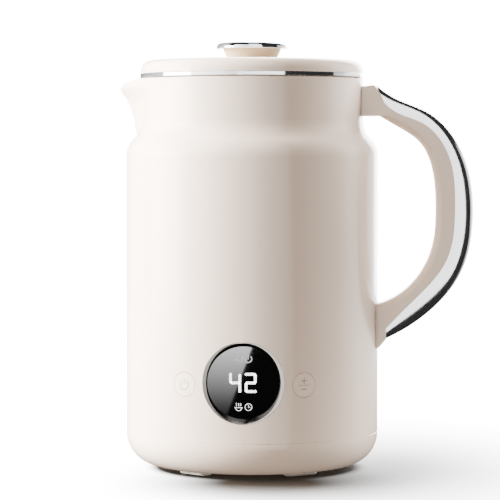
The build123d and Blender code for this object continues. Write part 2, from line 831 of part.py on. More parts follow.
# Mains inlet: a collar through the casing, a flange behind it and a pocket with three pins
inlet_plane = Plane(origin=(0, 0, inlet_z), x_dir=(-1, 0, 0), z_dir=(0, 1, 0))
socket_floor_y = inlet_front_y - socket_depth
pin_spots = [(-pin_spacing, -pin_step / 2), (0, pin_step / 2), (pin_spacing, -pin_step / 2)]
with BuildPart() as inlet_socket:
    with BuildSketch(inlet_plane.offset(flange_y)):
        RectangleRounded(inlet_width, inlet_height, inlet_corner)
    extrude(amount=inlet_front_y - flange_y)
    fillet(inlet_socket.faces().sort_by(Axis.Y)[-1].edges(), radius=component_round)
    with BuildSketch(inlet_plane.offset(flange_y)):
        RectangleRounded(flange_width, inlet_height, inlet_corner)
        with Locations((inlet_screw_x, 0), (-inlet_screw_x, 0)):
            Circle(small_screw_radius + fit_gap, mode=Mode.SUBTRACT)
    extrude(amount=-flange_thickness)
    with BuildSketch(inlet_plane.offset(flange_y)):
        RectangleRounded(socket_width + socket_wall, socket_height + socket_wall, inlet_corner)
    extrude(amount=socket_floor_y - socket_wall - flange_y)
    with BuildSketch(inlet_plane.offset(socket_floor_y)):
        with BuildLine():
            half_width = socket_width / 2
            half_height = socket_height / 2
            cut = socket_wall
            Polyline(
                (-half_width, -half_height),
                (half_width, -half_height),
                (half_width, half_height - cut),
                (half_width - cut, half_height),
                (cut - half_width, half_height),
                (-half_width, half_height - cut),
                close=True,
            )
        make_face()
    extrude(amount=socket_depth + overrun, mode=Mode.SUBTRACT)
    with BuildSketch(inlet_plane.offset(socket_floor_y)):
        with Locations(*pin_spots):
            Rectangle(pin_width + 2 * seat_gap, pin_height + 2 * seat_gap)
    extrude(amount=-socket_wall, mode=Mode.SUBTRACT)
inlet_socket.part.label = "inlet_socket"
export_step(inlet_socket.part, "parts/inlet_socket.step")

with BuildPart() as inlet_pins:
    with BuildSketch(inlet_plane.offset(socket_floor_y - socket_wall - pin_tail)):
        with Locations(*pin_spots):
            Rectangle(pin_width, pin_height)
    extrude(amount=pin_tail + socket_wall + socket_depth - pin_recess)
inlet_pins.part.label = "inlet_pins"
export_step(inlet_pins.part, "parts/inlet_pins.step")

with BuildPart() as inlet_screws:
    with BuildSketch(inlet_plane.offset(flange_y - flange_thickness)):
        with Locations((inlet_screw_x, 0), (-inlet_screw_x, 0)):
            Circle(small_screw_head_radius)
    extrude(amount=-small_screw_head_height)
    with BuildSketch(inlet_plane.offset(flange_y - flange_thickness)):
        with Locations((inlet_screw_x, 0), (-inlet_screw_x, 0)):
            Circle(small_screw_radius)
    extrude(amount=flange_thickness)
inlet_screws.part.label = "inlet_screws"
export_step(inlet_screws.part, "parts/inlet_screws.step")

# Display bezel: a funnel whose front edge follows the barrel, down to the flat glass
display_plane = Plane(origin=(0, 0, display_height), x_dir=(1, 0, 0), z_dir=(0, -1, 0))
with BuildPart() as display_bezel:
    with BuildSketch(display_plane.offset(-housing_y)):
        Circle(bezel_radius)
    extrude(amount=body_radius + housing_y + overrun)
    add(body_shape(0, seam_z - overrun, rim_z), mode=Mode.INTERSECT)
    with BuildSketch(display_plane.offset(-housing_y)):
        Circle(glass_radius + fit_gap)
    extrude(amount=glass_thickness, mode=Mode.SUBTRACT)
    with BuildSketch(display_plane.offset(-glass_y)):
        Circle(glass_radius - bezel_land)
    with BuildSketch(display_plane.offset(body_radius)):
        Circle(bezel_radius - bezel_land)
    loft(mode=Mode.SUBTRACT)
display_bezel.part.label = "display_bezel"
export_step(display_bezel.part, "parts/display_bezel.step")

with BuildPart() as display_glass:
    with BuildSketch(display_plane.offset(-housing_y)):
        Circle(glass_radius)
    extrude(amount=glass_thickness - seat_gap)
display_glass.part.label = "display_glass"
export_step(display_glass.part, "parts/display_glass.step")

# Display housing: a cup behind the glass with an ear above and below
with BuildPart() as display_housing:
    with BuildSketch(display_plane.offset(-housing_back_y)):
        Circle(housing_radius)
    extrude(amount=housing_depth)
    with BuildSketch(display_plane.offset(-housing_y - ear_thickness)):
        SlotOverall(2 * ear_screw_offset + ear_width, ear_width, upright)
    extrude(amount=ear_thickness)
    with BuildSketch(display_plane.offset(-housing_back_y + housing_floor)):
        Circle(housing_bore)
    extrude(amount=housing_depth, mode=Mode.SUBTRACT)
    with BuildSketch(display_plane.offset(-housing_y)):
        with Locations((0, ear_screw_offset), (0, -ear_screw_offset)):
            Circle(small_screw_radius + fit_gap)
    extrude(amount=-ear_thickness, mode=Mode.SUBTRACT)
display_housing.part.label = "display_housing"
export_step(display_housing.part, "parts/display_housing.step")

with BuildPart() as display_screws:
    with BuildSketch(display_plane.offset(-housing_y - ear_thickness)):
        with Locations((0, ear_screw_offset), (0, -ear_screw_offset)):
            Circle(small_screw_head_radius)
    extrude(amount=-small_screw_head_height)
    with BuildSketch(display_plane.offset(-housing_y - ear_thickness)):
        with Locations((0, ear_screw_offset), (0, -ear_screw_offset)):
            Circle(small_screw_radius)
    extrude(amount=small_screw_length - ear_thickness)
display_screws.part.label = "display_screws"
export_step(display_screws.part, "parts/display_screws.step")

display_board_y = housing_back_y - housing_floor
with BuildPart() as display_board:
    with BuildSketch(display_plane.offset(-display_board_y)):
        Circle(housing_bore - display_board_gap)
    extrude(amount=board_thickness)
display_board.part.label = "display_board"
export_step(display_board.part, "parts/display_board.step")

with BuildPart() as digit_module:
    with BuildSketch(display_plane.offset(-display_board_y + board_thickness)):
        Rectangle(module_length, module_height)
    extrude(amount=module_thickness)
    fillet(digit_module.edges().filter_by(Axis.Y), radius=component_round)
digit_module.part.label = "digit_module"
export_step(digit_module.part, "parts/digit_module.step")

# Keys: each a cap flush with the barrel, a retaining flange and a stem, with the switch that it works
for side, side_name in ((-1, "left"), (1, "right")):
    plane = key_plane(side)
    ends = [(0, bracket_screw_offset), (0, -bracket_screw_offset)]
    with BuildPart() as key:
        with BuildSketch(plane.offset(key_flange_r - key_flange_thickness)):
            Circle(key_radius)
        extrude(amount=body_radius)
        add(body_shape(0, seam_z - overrun, rim_z), mode=Mode.INTERSECT)
        with BuildSketch(plane.offset(key_flange_r - key_flange_thickness)):
            Circle(key_flange_radius)
        extrude(amount=key_flange_thickness)
        with BuildSketch(plane.offset(stem_r)):
            Circle(stem_radius)
        extrude(amount=stem_length)
    key.part.label = f"{side_name}_key"
    export_step(key.part, f"parts/{side_name}_key.step")

    with BuildPart() as plunger:
        with BuildSketch(plane.offset(stem_r - plunger_length)):
            Circle(plunger_radius)
        extrude(amount=plunger_length)
    plunger.part.label = f"{side_name}_plunger"
    export_step(plunger.part, f"parts/{side_name}_plunger.step")

    with BuildPart() as switch:
        with BuildSketch(plane.offset(bracket_r)):
            Rectangle(switch_width, switch_width)
        extrude(amount=switch_height)
        with BuildSketch(plane.offset(stem_r - plunger_length - key_travel - switch_play)):
            Circle(plunger_radius + moving_gap)
        extrude(amount=body_radius, mode=Mode.SUBTRACT)
    switch.part.label = f"{side_name}_switch"
    export_step(switch.part, f"parts/{side_name}_switch.step")

    with BuildPart() as bracket:
        with BuildSketch(plane.offset(bracket_r)):
            SlotOverall(bracket_length, bracket_width, upright)
            with Locations(*ends):
                Circle(small_screw_radius + fit_gap, mode=Mode.SUBTRACT)
        extrude(amount=-bracket_thickness)
    bracket.part.label = f"{side_name}_key_bracket"
    export_step(bracket.part, f"parts/{side_name}_key_bracket.step")

    with BuildPart() as key_screws:
        with BuildSketch(plane.offset(bracket_r - bracket_thickness)):
            with Locations(*ends):
                Circle(small_screw_head_radius)
        extrude(amount=-small_screw_head_height)
        with BuildSketch(plane.offset(bracket_r - bracket_thickness)):
            with Locations(*ends):
                Circle(small_screw_radius)
        extrude(amount=small_screw_length)
    key_screws.part.label = f"{side_name}_key_screws"
    export_step(key_screws.part, f"parts/{side_name}_key_screws.step")

# Handle body: the light D-shaped grip with its roots and a tongue inside the trim
barrel_cutter = body_shape(-seat_gap, seam_z - overrun, rim_z + overrun)
with BuildPart() as handle_body:
    with BuildSketch(Plane.XZ):
        with BuildLine():
            inner = [handle_point(shares) for shares in grip_inner_shares]
            meeting = [handle_point(shares) for shares in trim_inner_shares]
            Polyline(
                handle_point(root_bottom_shares),
                inner[0],
            )
            Spline(*inner)
            Polyline(
                inner[-1],
                handle_point(foot_inner_shares),
                handle_point(foot_back_shares),
                handle_point(foot_tip_shares),
                handle_point(trim_outer_shares[-1]),
                meeting[-1],
            )
            Spline(*reversed(meeting))
            Polyline(
                meeting[0],
                handle_point(root_corner_shares),
                handle_point(root_top_shares),
                handle_point(root_bottom_shares),
            )
        make_face()
    extrude(amount=handle_width / 2, both=True)
    grip_edges = handle_body.edges().filter_by(GeomType.BSPLINE).sort_by(SortBy.LENGTH)[:2]
    fillet(grip_edges, radius=handle_round)
    with BuildSketch(Plane.XZ):
        with BuildLine():
            trim_outline(trim_wall + seat_gap)
        make_face()
    extrude(amount=handle_width / 2 - trim_wall - seat_gap, both=True)
    add(barrel_cutter, mode=Mode.SUBTRACT)
    with BuildSketch(Plane.YZ):
        with Locations((0, upper_screw_z), (0, lower_screw_z)):
            Circle(handle_screw_radius + seat_gap)
    extrude(amount=body_radius + handle_screw_length - casing_wall, mode=Mode.SUBTRACT)
handle_body.part.label = "handle_body"
export_step(handle_body.part, "parts/handle_body.step")

# Handle trim: a metal shell over the tongue, rounded along both outer edges
with BuildPart() as handle_trim:
    with BuildSketch(Plane.XZ):
        with BuildLine():
            trim_outline()
        make_face()
    extrude(amount=handle_width / 2, both=True)
    outer_curve = handle_trim.edges().filter_by(GeomType.BSPLINE).sort_by(SortBy.LENGTH)[-2:]
    fillet(outer_curve, radius=trim_round)
    with BuildSketch(Plane.XZ):
        with BuildLine():
            trim_outline(trim_wall)
        make_face()
    extrude(amount=handle_width / 2 - trim_wall, both=True, mode=Mode.SUBTRACT)
handle_trim.part.label = "handle_trim"
export_step(handle_trim.part, "parts/handle_trim.step")

# Handle screws: driven from inside the casing before the liner goes in
with BuildPart() as handle_screws:
    for height, wall_radius in ((upper_screw_z, throat_radius), (lower_screw_z, inner_radius)):
        head_x = wall_radius - seat_gap
        with BuildSketch(Plane.YZ.offset(head_x)):
            with Locations((0, height)):
                Circle(handle_screw_head_radius)
        extrude(amount=-handle_screw_head_height)
        with BuildSketch(Plane.YZ.offset(head_x)):
            with Locations((0, height)):
                Circle(handle_screw_radius)
        extrude(amount=handle_screw_length)
handle_screws.part.label = "handle_screws"
export_step(handle_screws.part, "parts/handle_screws.step")

# Lid cover: a shallow cap with a rounded edge and bosses for the lid's screws
with BuildPart() as lid_cover:
    with BuildSketch(Plane.XY.offset(cover_z)):
        Circle(neck_radius)
    extrude(amount=cover_height)
    fillet(lid_cover.faces().sort_by(Axis.Z)[-1].edges(), radius=cover_round)
    with BuildSketch(Plane.XY.offset(cover_z)):
        Circle(neck_radius - cover_wall)
    extrude(amount=cover_height - cover_wall, mode=Mode.SUBTRACT)
    with BuildSketch(Plane.XY.offset(plug_z + plug_floor)):
        with PolarLocations(lid_screw_circle, lid_screw_count):
            Circle(lid_boss_radius)
    extrude(amount=cover_top_z - cover_wall / 2 - plug_z - plug_floor)
    with BuildSketch(Plane.XY.offset(plug_z + plug_floor)):
        with PolarLocations(lid_screw_circle, lid_screw_count):
            Circle(small_screw_radius + seat_gap)
    extrude(amount=small_screw_length, mode=Mode.SUBTRACT)
    with BuildSketch(Plane.XY.offset(cover_z)):
        Circle(knob_screw_radius + fit_gap)
    extrude(amount=cover_height, mode=Mode.SUBTRACT)
lid_cover.part.label = "lid_cover"
export_step(lid_cover.part, "parts/lid_cover.step")

# Lid band: a bright ring clamped between the cover and the plug, just over the rim
with BuildPart() as lid_band:
    with BuildSketch(Plane.XY.offset(lid_z)):
        Circle(neck_radius + band_proud)
        Circle(neck_radius + band_proud - band_depth, mode=Mode.SUBTRACT)
    extrude(amount=band_height)
    outer_rim = lid_band.edges().filter_by(GeomType.CIRCLE).sort_by(SortBy.RADIUS)[-2:]
    fillet(outer_rim, radius=band_proud)
lid_band.part.label = "lid_band"
export_step(lid_band.part, "parts/lid_band.step")

# Lid plug: a cup that hangs into the neck, with a flange over the band and a groove for the seal
with BuildPart() as lid_plug:
    with BuildSketch(Plane.XY.offset(plug_z)):
        Circle(plug_radius)
    extrude(amount=cover_z - plug_z)
    with BuildSketch(Plane.XY.offset(cover_z)):
        Circle(neck_radius - cover_wall - fit_gap)
    extrude(amount=plug_flange_height)
    with BuildSketch(Plane.XY.offset(plug_z + plug_floor)):
        Circle(plug_radius - plug_wall)
    extrude(amount=cover_top_z - plug_z, mode=Mode.SUBTRACT)
    with BuildSketch(Plane.XY.offset(plug_z + seal_rise)):
        Circle(plug_radius)
        Circle(plug_radius - seal_seat, mode=Mode.SUBTRACT)
    extrude(amount=seal_height, mode=Mode.SUBTRACT)
    with BuildSketch(Plane.XY.offset(plug_z)):
        with PolarLocations(lid_screw_circle, lid_screw_count):
            Circle(small_screw_radius + fit_gap)
    extrude(amount=plug_floor, mode=Mode.SUBTRACT)
    with BuildSketch(Plane.XY.offset(plug_z)):
        with PolarLocations(lid_screw_circle, lid_screw_count):
            Circle(small_screw_head_radius + fit_gap)
    extrude(amount=small_screw_head_height, mode=Mode.SUBTRACT)
lid_plug.part.label = "lid_plug"
export_step(lid_plug.part, "parts/lid_plug.step")

with BuildPart() as lid_plate:
    with BuildSketch(Plane.XY.offset(plug_z)):
        Circle(plug_radius - plate_inset)
    extrude(amount=-plate_thickness)
lid_plate.part.label = "lid_plate"
export_step(lid_plate.part, "parts/lid_plate.step")

# Lid seal: a silicone ring in the plug's groove with a lip towards the neck
with BuildPart() as lid_seal:
    with BuildSketch(Plane.XZ):
        with BuildLine():
            seat = plug_radius - seal_seat
            lip = throat_radius - moving_gap
            foot = plug_z + seal_rise
            Polyline(
                (seat, foot),
                (plug_radius, foot),
                (lip, foot + seal_height / 3),
                (lip, foot + 2 * seal_height / 3),
                (plug_radius, foot + seal_height),
                (seat, foot + seal_height),
                (seat, foot),
            )
        make_face()
    revolve(axis=Axis.Z)
lid_seal.part.label = "lid_seal"
export_step(lid_seal.part, "parts/lid_seal.step")

with BuildPart() as lid_screws:
    with BuildSketch(Plane.XY.offset(plug_z)):
        with PolarLocations(lid_screw_circle, lid_screw_count):
            Circle(small_screw_head_radius)
    extrude(amount=small_screw_head_height)
    with BuildSketch(Plane.XY.offset(plug_z)):
        with PolarLocations(lid_screw_circle, lid_screw_count):
            Circle(small_screw_radius)
    extrude(amount=small_screw_length)
lid_screws.part.label = "lid_screws"
export_step(lid_screws.part, "parts/lid_screws.step")

# Knob: a cone that widens upwards into a bright cap, held by a screw from inside the lid
with BuildPart() as knob_body:
    with BuildSketch(Plane.XY.offset(cover_top_z)):
        Circle(knob_foot_radius)
    with BuildSketch(Plane.XY.offset(knob_z + cap_socket)):
        Circle(knob_top_radius)
    loft()
    with BuildSketch(Plane.XY.offset(cover_top_z)):
        Circle(knob_screw_radius + seat_gap)
    extrude(amount=knob_screw_reach, mode=Mode.SUBTRACT)
knob_body.part.label = "knob_body"
export_step(knob_body.part, "parts/knob_body.step")

with BuildPart() as knob_cap:
    with BuildSketch(Plane.XY.offset(knob_z)):
        Circle(cap_radius)
    extrude(amount=cap_height)
    fillet(knob_cap.edges(), radius=cap_round)
    with BuildSketch(Plane.XY.offset(knob_z)):
        Circle(knob_top_radius + seat_gap)
    extrude(amount=cap_socket, mode=Mode.SUBTRACT)
knob_cap.part.label = "knob_cap"
export_step(knob_cap.part, "parts/knob_cap.step")

with BuildPart() as knob_screw:
    with BuildSketch(Plane.XY.offset(cover_top_z - cover_wall)):
        Circle(knob_screw_head_radius)
    extrude(amount=-knob_screw_head_height)
    with BuildSketch(Plane.XY.offset(cover_top_z - cover_wall)):
        Circle(knob_screw_radius)
    extrude(amount=cover_wall + knob_screw_reach)
knob_screw.part.label = "knob_screw"
export_step(knob_screw.part, "parts/knob_screw.step")
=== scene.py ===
# %% [markdown]
# # A temperature control kettle, dressed for its picture
# The engineering model is already packed: every part sits at its real place, in metres, and we never
# move one. In this lesson we give each part its finish, and where a part is seen close up and its
# facets would show in a reflection we lay a finer surface in its place. We start by loading the frame.

# %% Load the imported model
import json
from math import cos, pi, radians, sin

import bmesh
import bpy
import numpy as np
from mathutils import Matrix, Vector


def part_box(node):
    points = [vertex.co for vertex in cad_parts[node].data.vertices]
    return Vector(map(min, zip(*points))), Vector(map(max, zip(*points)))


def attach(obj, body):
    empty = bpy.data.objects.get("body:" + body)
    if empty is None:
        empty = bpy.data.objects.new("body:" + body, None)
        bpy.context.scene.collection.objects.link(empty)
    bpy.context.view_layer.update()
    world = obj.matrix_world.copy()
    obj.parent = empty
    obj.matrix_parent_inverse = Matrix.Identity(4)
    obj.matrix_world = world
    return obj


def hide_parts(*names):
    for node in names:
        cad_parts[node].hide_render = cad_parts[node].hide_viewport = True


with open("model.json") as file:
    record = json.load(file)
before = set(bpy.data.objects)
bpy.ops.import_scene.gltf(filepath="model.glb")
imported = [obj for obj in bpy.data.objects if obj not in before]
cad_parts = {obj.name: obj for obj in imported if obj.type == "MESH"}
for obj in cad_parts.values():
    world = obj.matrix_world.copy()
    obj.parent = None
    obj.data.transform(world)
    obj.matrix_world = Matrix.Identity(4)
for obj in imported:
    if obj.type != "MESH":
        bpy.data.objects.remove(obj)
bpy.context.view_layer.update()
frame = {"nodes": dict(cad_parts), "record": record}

MM = 0.001
nodes = frame["nodes"]


# %% [markdown]
# ## Measure before making
# A few sizes of the real part drive everything that follows. We read them from the parts' own boxes, in
# millimetres, so that a finer surface or a mark always lands on the part that it belongs to.


# %% Sizes read from the parts
def box_mm(name):
    """Lowest and highest corner of a part, in millimetres."""
    low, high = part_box(name)
    return np.array(low) / MM, np.array(high) / MM


BODY_RADIUS = box_mm("outer_casing")[1][1]
TRIM_HIGH = box_mm("handle_trim")[1]
cap_low, cap_high = box_mm("knob_cap")
glass_low, glass_high = box_mm("display_glass")
key_low, key_high = box_mm("left_key")
GLASS_Y = glass_low[1]
DISPLAY_Z = (glass_low[2] + glass_high[2]) / 2
KEY_Z = (key_low[2] + key_high[2]) / 2
print(f"barrel radius {BODY_RADIUS:.1f} mm, display {DISPLAY_Z:.1f} and keys {KEY_Z:.1f} mm up")

# %% [markdown]
# ## The camera
# The photograph was taken with a long lens from about a metre and a half, slightly above the middle of
# the kettle and a little to the handle's side: the seam near the foot bows downwards by about nine
# millimetres, and the band of the lid bows the other way by two. Those two bows fix the eye's height
# and distance; the width of the barrel in the picture then fixes the lens.

# %% Place the camera
PHOTO_WIDTH = 500
FOCAL_PX = 2397.0
AXIS_PX = 252.2
HORIZON_PX = 149.0
EYE_HEIGHT = 184.0
EYE_DISTANCE = 1385.0
EYE_TURN = radians(4.0)
SENSOR = 36.0


def look_matrix(eye, target):
    """Camera matrix: -Z runs from the eye to the target, X is level, Y completes them."""
    forward = (Vector(target) - Vector(eye)).normalized()
    side = forward.cross(Vector((0, 0, 1))).normalized()
    up = side.cross(forward)
    return Matrix((side, up, -forward)).transposed().to_4x4()


eye = Vector((EYE_DISTANCE * sin(EYE_TURN), -EYE_DISTANCE * cos(EYE_TURN), EYE_HEIGHT)) * MM
sideways = (PHOTO_WIDTH / 2 - AXIS_PX) / FOCAL_PX * EYE_DISTANCE
downwards = (PHOTO_WIDTH / 2 - HORIZON_PX) / FOCAL_PX * EYE_DISTANCE
target = Vector((sideways * cos(EYE_TURN), sideways * sin(EYE_TURN), EYE_HEIGHT - downwards)) * MM
camera_data = bpy.data.cameras.new("photo_camera")
camera_data.sensor_width = SENSOR
camera_data.lens = FOCAL_PX / PHOTO_WIDTH * SENSOR
camera = bpy.data.objects.new("photo_camera", camera_data)
bpy.context.scene.collection.objects.link(camera)
camera.matrix_world = Matrix.Translation(eye) @ look_matrix(eye, target)
bpy.context.scene.camera = camera
print(f"lens {camera_data.lens:.0f} mm, eye {EYE_HEIGHT:.0f} mm above the table")

# %% [markdown]
# ## Helpers for surfaces
# Every new piece is a grid: one parameter runs along a profile, the other round it. One function turns
# such an array of points into a mesh, merges what meets at a pole or a seam, and turns the faces
# outwards. A lathe is then only a profile swept round an axis.

# %% Grids and lathes
CREASE = radians(35.0)
MERGED = 1e-6  # corners closer than this, in metres, become one
DEGENERATE = 1e-7
LATHE_TURNS = 192


def mesh_object(name, points, faces):
    """Object from points in mm: doubles merged, faces outwards, smooth but for edges past the crease."""
    mesh = bpy.data.meshes.new(name)
    mesh.from_pydata((points * MM).tolist(), [], faces.tolist())
    work = bmesh.new()
    work.from_mesh(mesh)
    bmesh.ops.remove_doubles(work, verts=work.verts, dist=MERGED)
    bmesh.ops.dissolve_degenerate(work, edges=work.edges, dist=DEGENERATE)
    bmesh.ops.recalc_face_normals(work, faces=work.faces)
    work.to_mesh(mesh)
    work.free()
    mesh.polygons.foreach_set("use_smooth", np.ones(len(mesh.polygons), bool))
    mesh.set_sharp_from_angle(angle=CREASE)
    piece = bpy.data.objects.new(name, mesh)
    bpy.context.scene.collection.objects.link(piece)
    return piece


def grid_object(name, points, closed_rows=True):
    """Grid of points in mm: each face joins two neighbours along a row and along a column."""
    rows, cols = points.shape[:2]
    row, col = np.arange(rows - 1), np.arange(cols if closed_rows else cols - 1)
    r, c = np.meshgrid(row, col, indexing="ij")
    r2, c2 = r + 1, (c + 1) % cols
    faces = np.stack([r * cols + c, r * cols + c2, r2 * cols + c2, r2 * cols + c], -1)
    return mesh_object(name, points.reshape(-1, 3), faces.reshape(-1, 4))


def lathe(name, profile):
    """Surface of revolution: (r cos a, r sin a, z) for a profile of (r, z) in mm and a full turn of a."""
    angle = np.linspace(0, 2 * pi, LATHE_TURNS, endpoint=False)
    r, z = profile[:, :1], profile[:, 1:]
    return grid_object(name, np.stack([r * np.cos(angle), r * np.sin(angle), z + 0 * angle], -1))


def corners_mm(piece):
    """The corners of a piece's mesh as rows of x, y, z in millimetres."""
    flat = np.empty(len(piece.data.vertices) * 3)
    piece.data.vertices.foreach_get("co", flat)
    return flat.reshape(-1, 3) / MM


def finish_piece(piece, body, slot, material, *replaced):
    """Gives a piece its material, says which body carries it and which parts it stands for."""
    piece.data.materials.append(material)
    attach(piece, body)
    if replaced:
        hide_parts(*replaced)
    print(piece.name, "has", len(piece.data.polygons), "faces")


# %% [markdown]
# ## Helpers for materials
# A colour is written as the eye would pick it from a screen, in sRGB hex, and one function turns it into
# the linear light that the renderer works in. A second one adds a node with its settings and links. With
# these a third builds a whole finish, because no real surface has one flat colour or one even gloss:
# noise, measured in the piece's own millimetres, drives its shade, its roughness and its relief.

# %% Colours, nodes and finishes
EVEN = (1.0, 1.0, 1.0)
SHADE_STOPS = (0.3, 0.7)
SHADER = "Principled BSDF"  # the name that a new shader node gets


def linear(hex_code):
    """sRGB hex to linear: up to 0.04045 divided by 12.92, above it ((v + 0.055) / 1.055) ^ 2.4."""
    value = np.array([int(hex_code[i : i + 2], 16) for i in (1, 3, 5)]) / 255
    low = value / 12.92
    high = ((value + 0.055) / 1.055) ** 2.4
    return (*np.where(value <= 0.04045, low, high), 1.0)


def add_node(tree, kind, settings=None, links=None):
    """Adds a node; a setting names an input or a property, and a link names an input and its source."""
    node = tree.nodes.new(kind)
    for key, value in (settings or {}).items():
        if isinstance(key, int) or key in node.inputs:
            node.inputs[key].default_value = value
        else:
            setattr(node, key, value)
    for key, source in (links or {}).items():
        tree.links.new(source, node.inputs[key])
    return node


def grain(size_mm, detail, rough=0.5, stretch=EVEN):
    """Settings of a noise whose bumps are about size_mm across, and the stretch of its space."""
    return {"Scale": 1 / (size_mm * MM), "Detail": detail, "Roughness": rough}, stretch


def new_finish(name, shader, shade=None, gloss=None, relief=None):
    """Principled material. Noise blends two colours (shade) and two roughnesses (gloss) and stands for
    the height of a relief, given in mm with its strength. Each of the three starts with its grain."""
    material = bpy.data.materials.new(name)
    material.use_nodes = True
    tree = material.node_tree
    tree.nodes.clear()
    output = add_node(tree, "ShaderNodeOutputMaterial")
    surface = add_node(tree, "ShaderNodeBsdfPrincipled", shader)
    tree.links.new(surface.outputs["BSDF"], output.inputs["Surface"])
    place = add_node(tree, "ShaderNodeTexCoord").outputs["Object"]

    def drift(settings, stretch):
        space = add_node(tree, "ShaderNodeMapping", {"Scale": stretch}, {"Vector": place})
        spread = {"Vector": space.outputs["Vector"]}
        return add_node(tree, "ShaderNodeTexNoise", settings, spread).outputs["Fac"]

    if shade:
        ramp = add_node(tree, "ShaderNodeValToRGB", links={"Fac": drift(*shade[0])})
        for stop, position, colour in zip(ramp.color_ramp.elements, SHADE_STOPS, shade[1:]):
            stop.position, stop.color = position, linear(colour)
        tree.links.new(ramp.outputs["Color"], surface.inputs["Base Color"])
    if gloss:
        limits = {"To Min": gloss[1], "To Max": gloss[2]}
        blend = add_node(tree, "ShaderNodeMapRange", limits, {"Value": drift(*gloss[0])})
        tree.links.new(blend.outputs["Result"], surface.inputs["Roughness"])
    if relief:
        depth = {"Distance": relief[1] * MM, "Strength": relief[2]}
        bump = add_node(tree, "ShaderNodeBump", depth, {"Height": drift(*relief[0])})
        tree.links.new(bump.outputs["Normal"], surface.inputs["Normal"])
    return material


# %% [markdown]
# ## Moulded polypropylene
# The casing, handle and lid are cream polypropylene from a polished mould. It shows a body colour that is
# almost white where light falls on it and a clear, slightly softened reflection of the windows. A real
# moulding is never perfectly flat: long, very low waves and a trace of orange peel bend its highlights,
# and pigment drifts by a shade. The handle is a moulding of its own, a shade warmer. Satin polypropylene
# comes from an etched mould: it has no clear reflection, which sets the keys and the cone of the knob
# apart from the gloss round them. The cone's darker sand colour is partly its own tint and partly
# painted shade from the cap above it.

# %% Cream and sand plastics
CREAM_SHADES = ("#edd6c3", "#f0dac8")
HANDLE_SHADES = ("#f4dec9", "#f7e2cd")
# The cone's colours: partly its own sand tint, partly painted shade from the cap above it.
SAND_AND_SHADE_COLOURS = ("#9c8a6b", "#a79576")


def polypropylene(name, shades, roughness, coat):
    """Typical IOR 1.49, a slow drift of shade and gloss, and waves 14 mm long and 0.02 mm high."""
    return new_finish(
        name,
        {"IOR": 1.49, "Coat Weight": coat, "Coat Roughness": 0.08, "Coat IOR": 1.5},
        shade=(grain(90.0, 1.0), *shades),
        gloss=(grain(25.0, 2.0), *roughness),
        relief=(grain(14.0, 1.0), 0.02, 0.25),
    )


glossy_cream = polypropylene("polypropylene_gloss_cream", CREAM_SHADES, (0.20, 0.26), 0.35)
handle_cream = polypropylene("polypropylene_gloss_handle", HANDLE_SHADES, (0.20, 0.26), 0.35)
satin_cream = polypropylene("polypropylene_satin_cream", CREAM_SHADES, (0.42, 0.50), 0.0)
sand_satin_and_shade = polypropylene("polypropylene_satin_sand_and_shade", SAND_AND_SHADE_COLOURS, (0.38, 0.46), 0.0)
print("made", glossy_cream.name, handle_cream.name, satin_cream.name, sand_satin_and_shade.name)

# %% [markdown]
# ## Chrome plate
# Decorative chrome on ABS is a metal mirror with a faint cool cast. What makes it read as plating is not
# its colour but small things: a very fine haze that varies over the surface and shallow moulding waves
# under the plate. The handle's long trim is plated over a softer, blasted mould, which blurs its mirror
# a little. The ring round the display is satin chrome on die-cast zinc: darker, warmer and hazier.

# %% Chrome
def chrome_plate(name, shades, roughness):
    """Metal with waves 20 mm long and 0.015 mm high under the plate, and a haze in spots of 8 mm."""
    return new_finish(
        name,
        {"Metallic": 1.0},
        shade=(grain(40.0, 1.0), *shades),
        gloss=(grain(8.0, 3.0), *roughness),
        relief=(grain(20.0, 1.0), 0.015, 0.2),
    )


chrome = chrome_plate("chrome_plated_abs", ("#dfe0e1", "#e9eaeb"), (0.05, 0.09))
soft_chrome = chrome_plate("chrome_plated_abs_softened", ("#dcdcdd", "#e6e7e8"), (0.13, 0.17))
satin_metal = new_finish(
    "zinc_alloy_satin_chrome",
    {"Metallic": 1.0},
    shade=(grain(12.0, 2.0), "#8f8b86", "#99958f"),
    gloss=(grain(6.0, 1.0), 0.17, 0.20),
)
print("made", chrome.name, soft_chrome.name, satin_metal.name)

# %% [markdown]
# ## The metals inside
# The liner is drawn stainless steel, brushed round its axis, so its noise is squeezed along Z into thin
# rings. Screws are zinc plated, with a blotchy gloss. The heater plate is cast aluminium with a matt
# grain, and the inlet's pins are pressed brass, smooth and yellow.

# %% Steel, zinc, aluminium and brass
# A brush line is 0.1 mm wide; it is drawn 0.5 mm wide, six to 3 mm, so that it shows.
BRUSHED = grain(3.0, 4.0, 0.7, (0.05, 0.05, 6.0))
CAST = grain(1.2, 5.0, 0.65)
brushed_steel = new_finish(
    "stainless_steel_brushed",
    {"Metallic": 1.0, "Anisotropic": 0.5},
    shade=(grain(60.0, 2.0), "#b9b8b6", "#cbcac8"),
    gloss=(BRUSHED, 0.22, 0.36),
    relief=(BRUSHED, 0.01, 0.3),
)
zinc = new_finish(
    "steel_zinc_plated",
    {"Metallic": 1.0},
    shade=(grain(1.5, 3.0), "#9a9ca0", "#b9bbbe"),
    gloss=(grain(1.0, 3.0), 0.28, 0.42),
)
aluminium = new_finish(
    "aluminium_cast",
    {"Metallic": 1.0},
    shade=(CAST, "#a9aaab", "#c6c7c8"),
    gloss=(CAST, 0.42, 0.58),
    relief=(CAST, 0.05, 0.4),
)
brass = new_finish(
    "brass_pressed",
    {"Metallic": 1.0},
    shade=(grain(2.0, 2.0), "#b8964a", "#cda95a"),
    gloss=(grain(1.5, 3.0), 0.24, 0.38),
)
print("made", brushed_steel.name, zinc.name, aluminium.name, brass.name)

# %% [markdown]
# ## Black plastic, rubbers and boards
# Black ABS from an eroded mould has a fine matt grain. The seals are silicone: milky, because light goes
# a little way in, and half matt. The feet are pale moulded rubber with a speckle and almost no gloss. A
# circuit board is glass cloth under a green mask: its weave shows as a faint stripe below a thin coat.

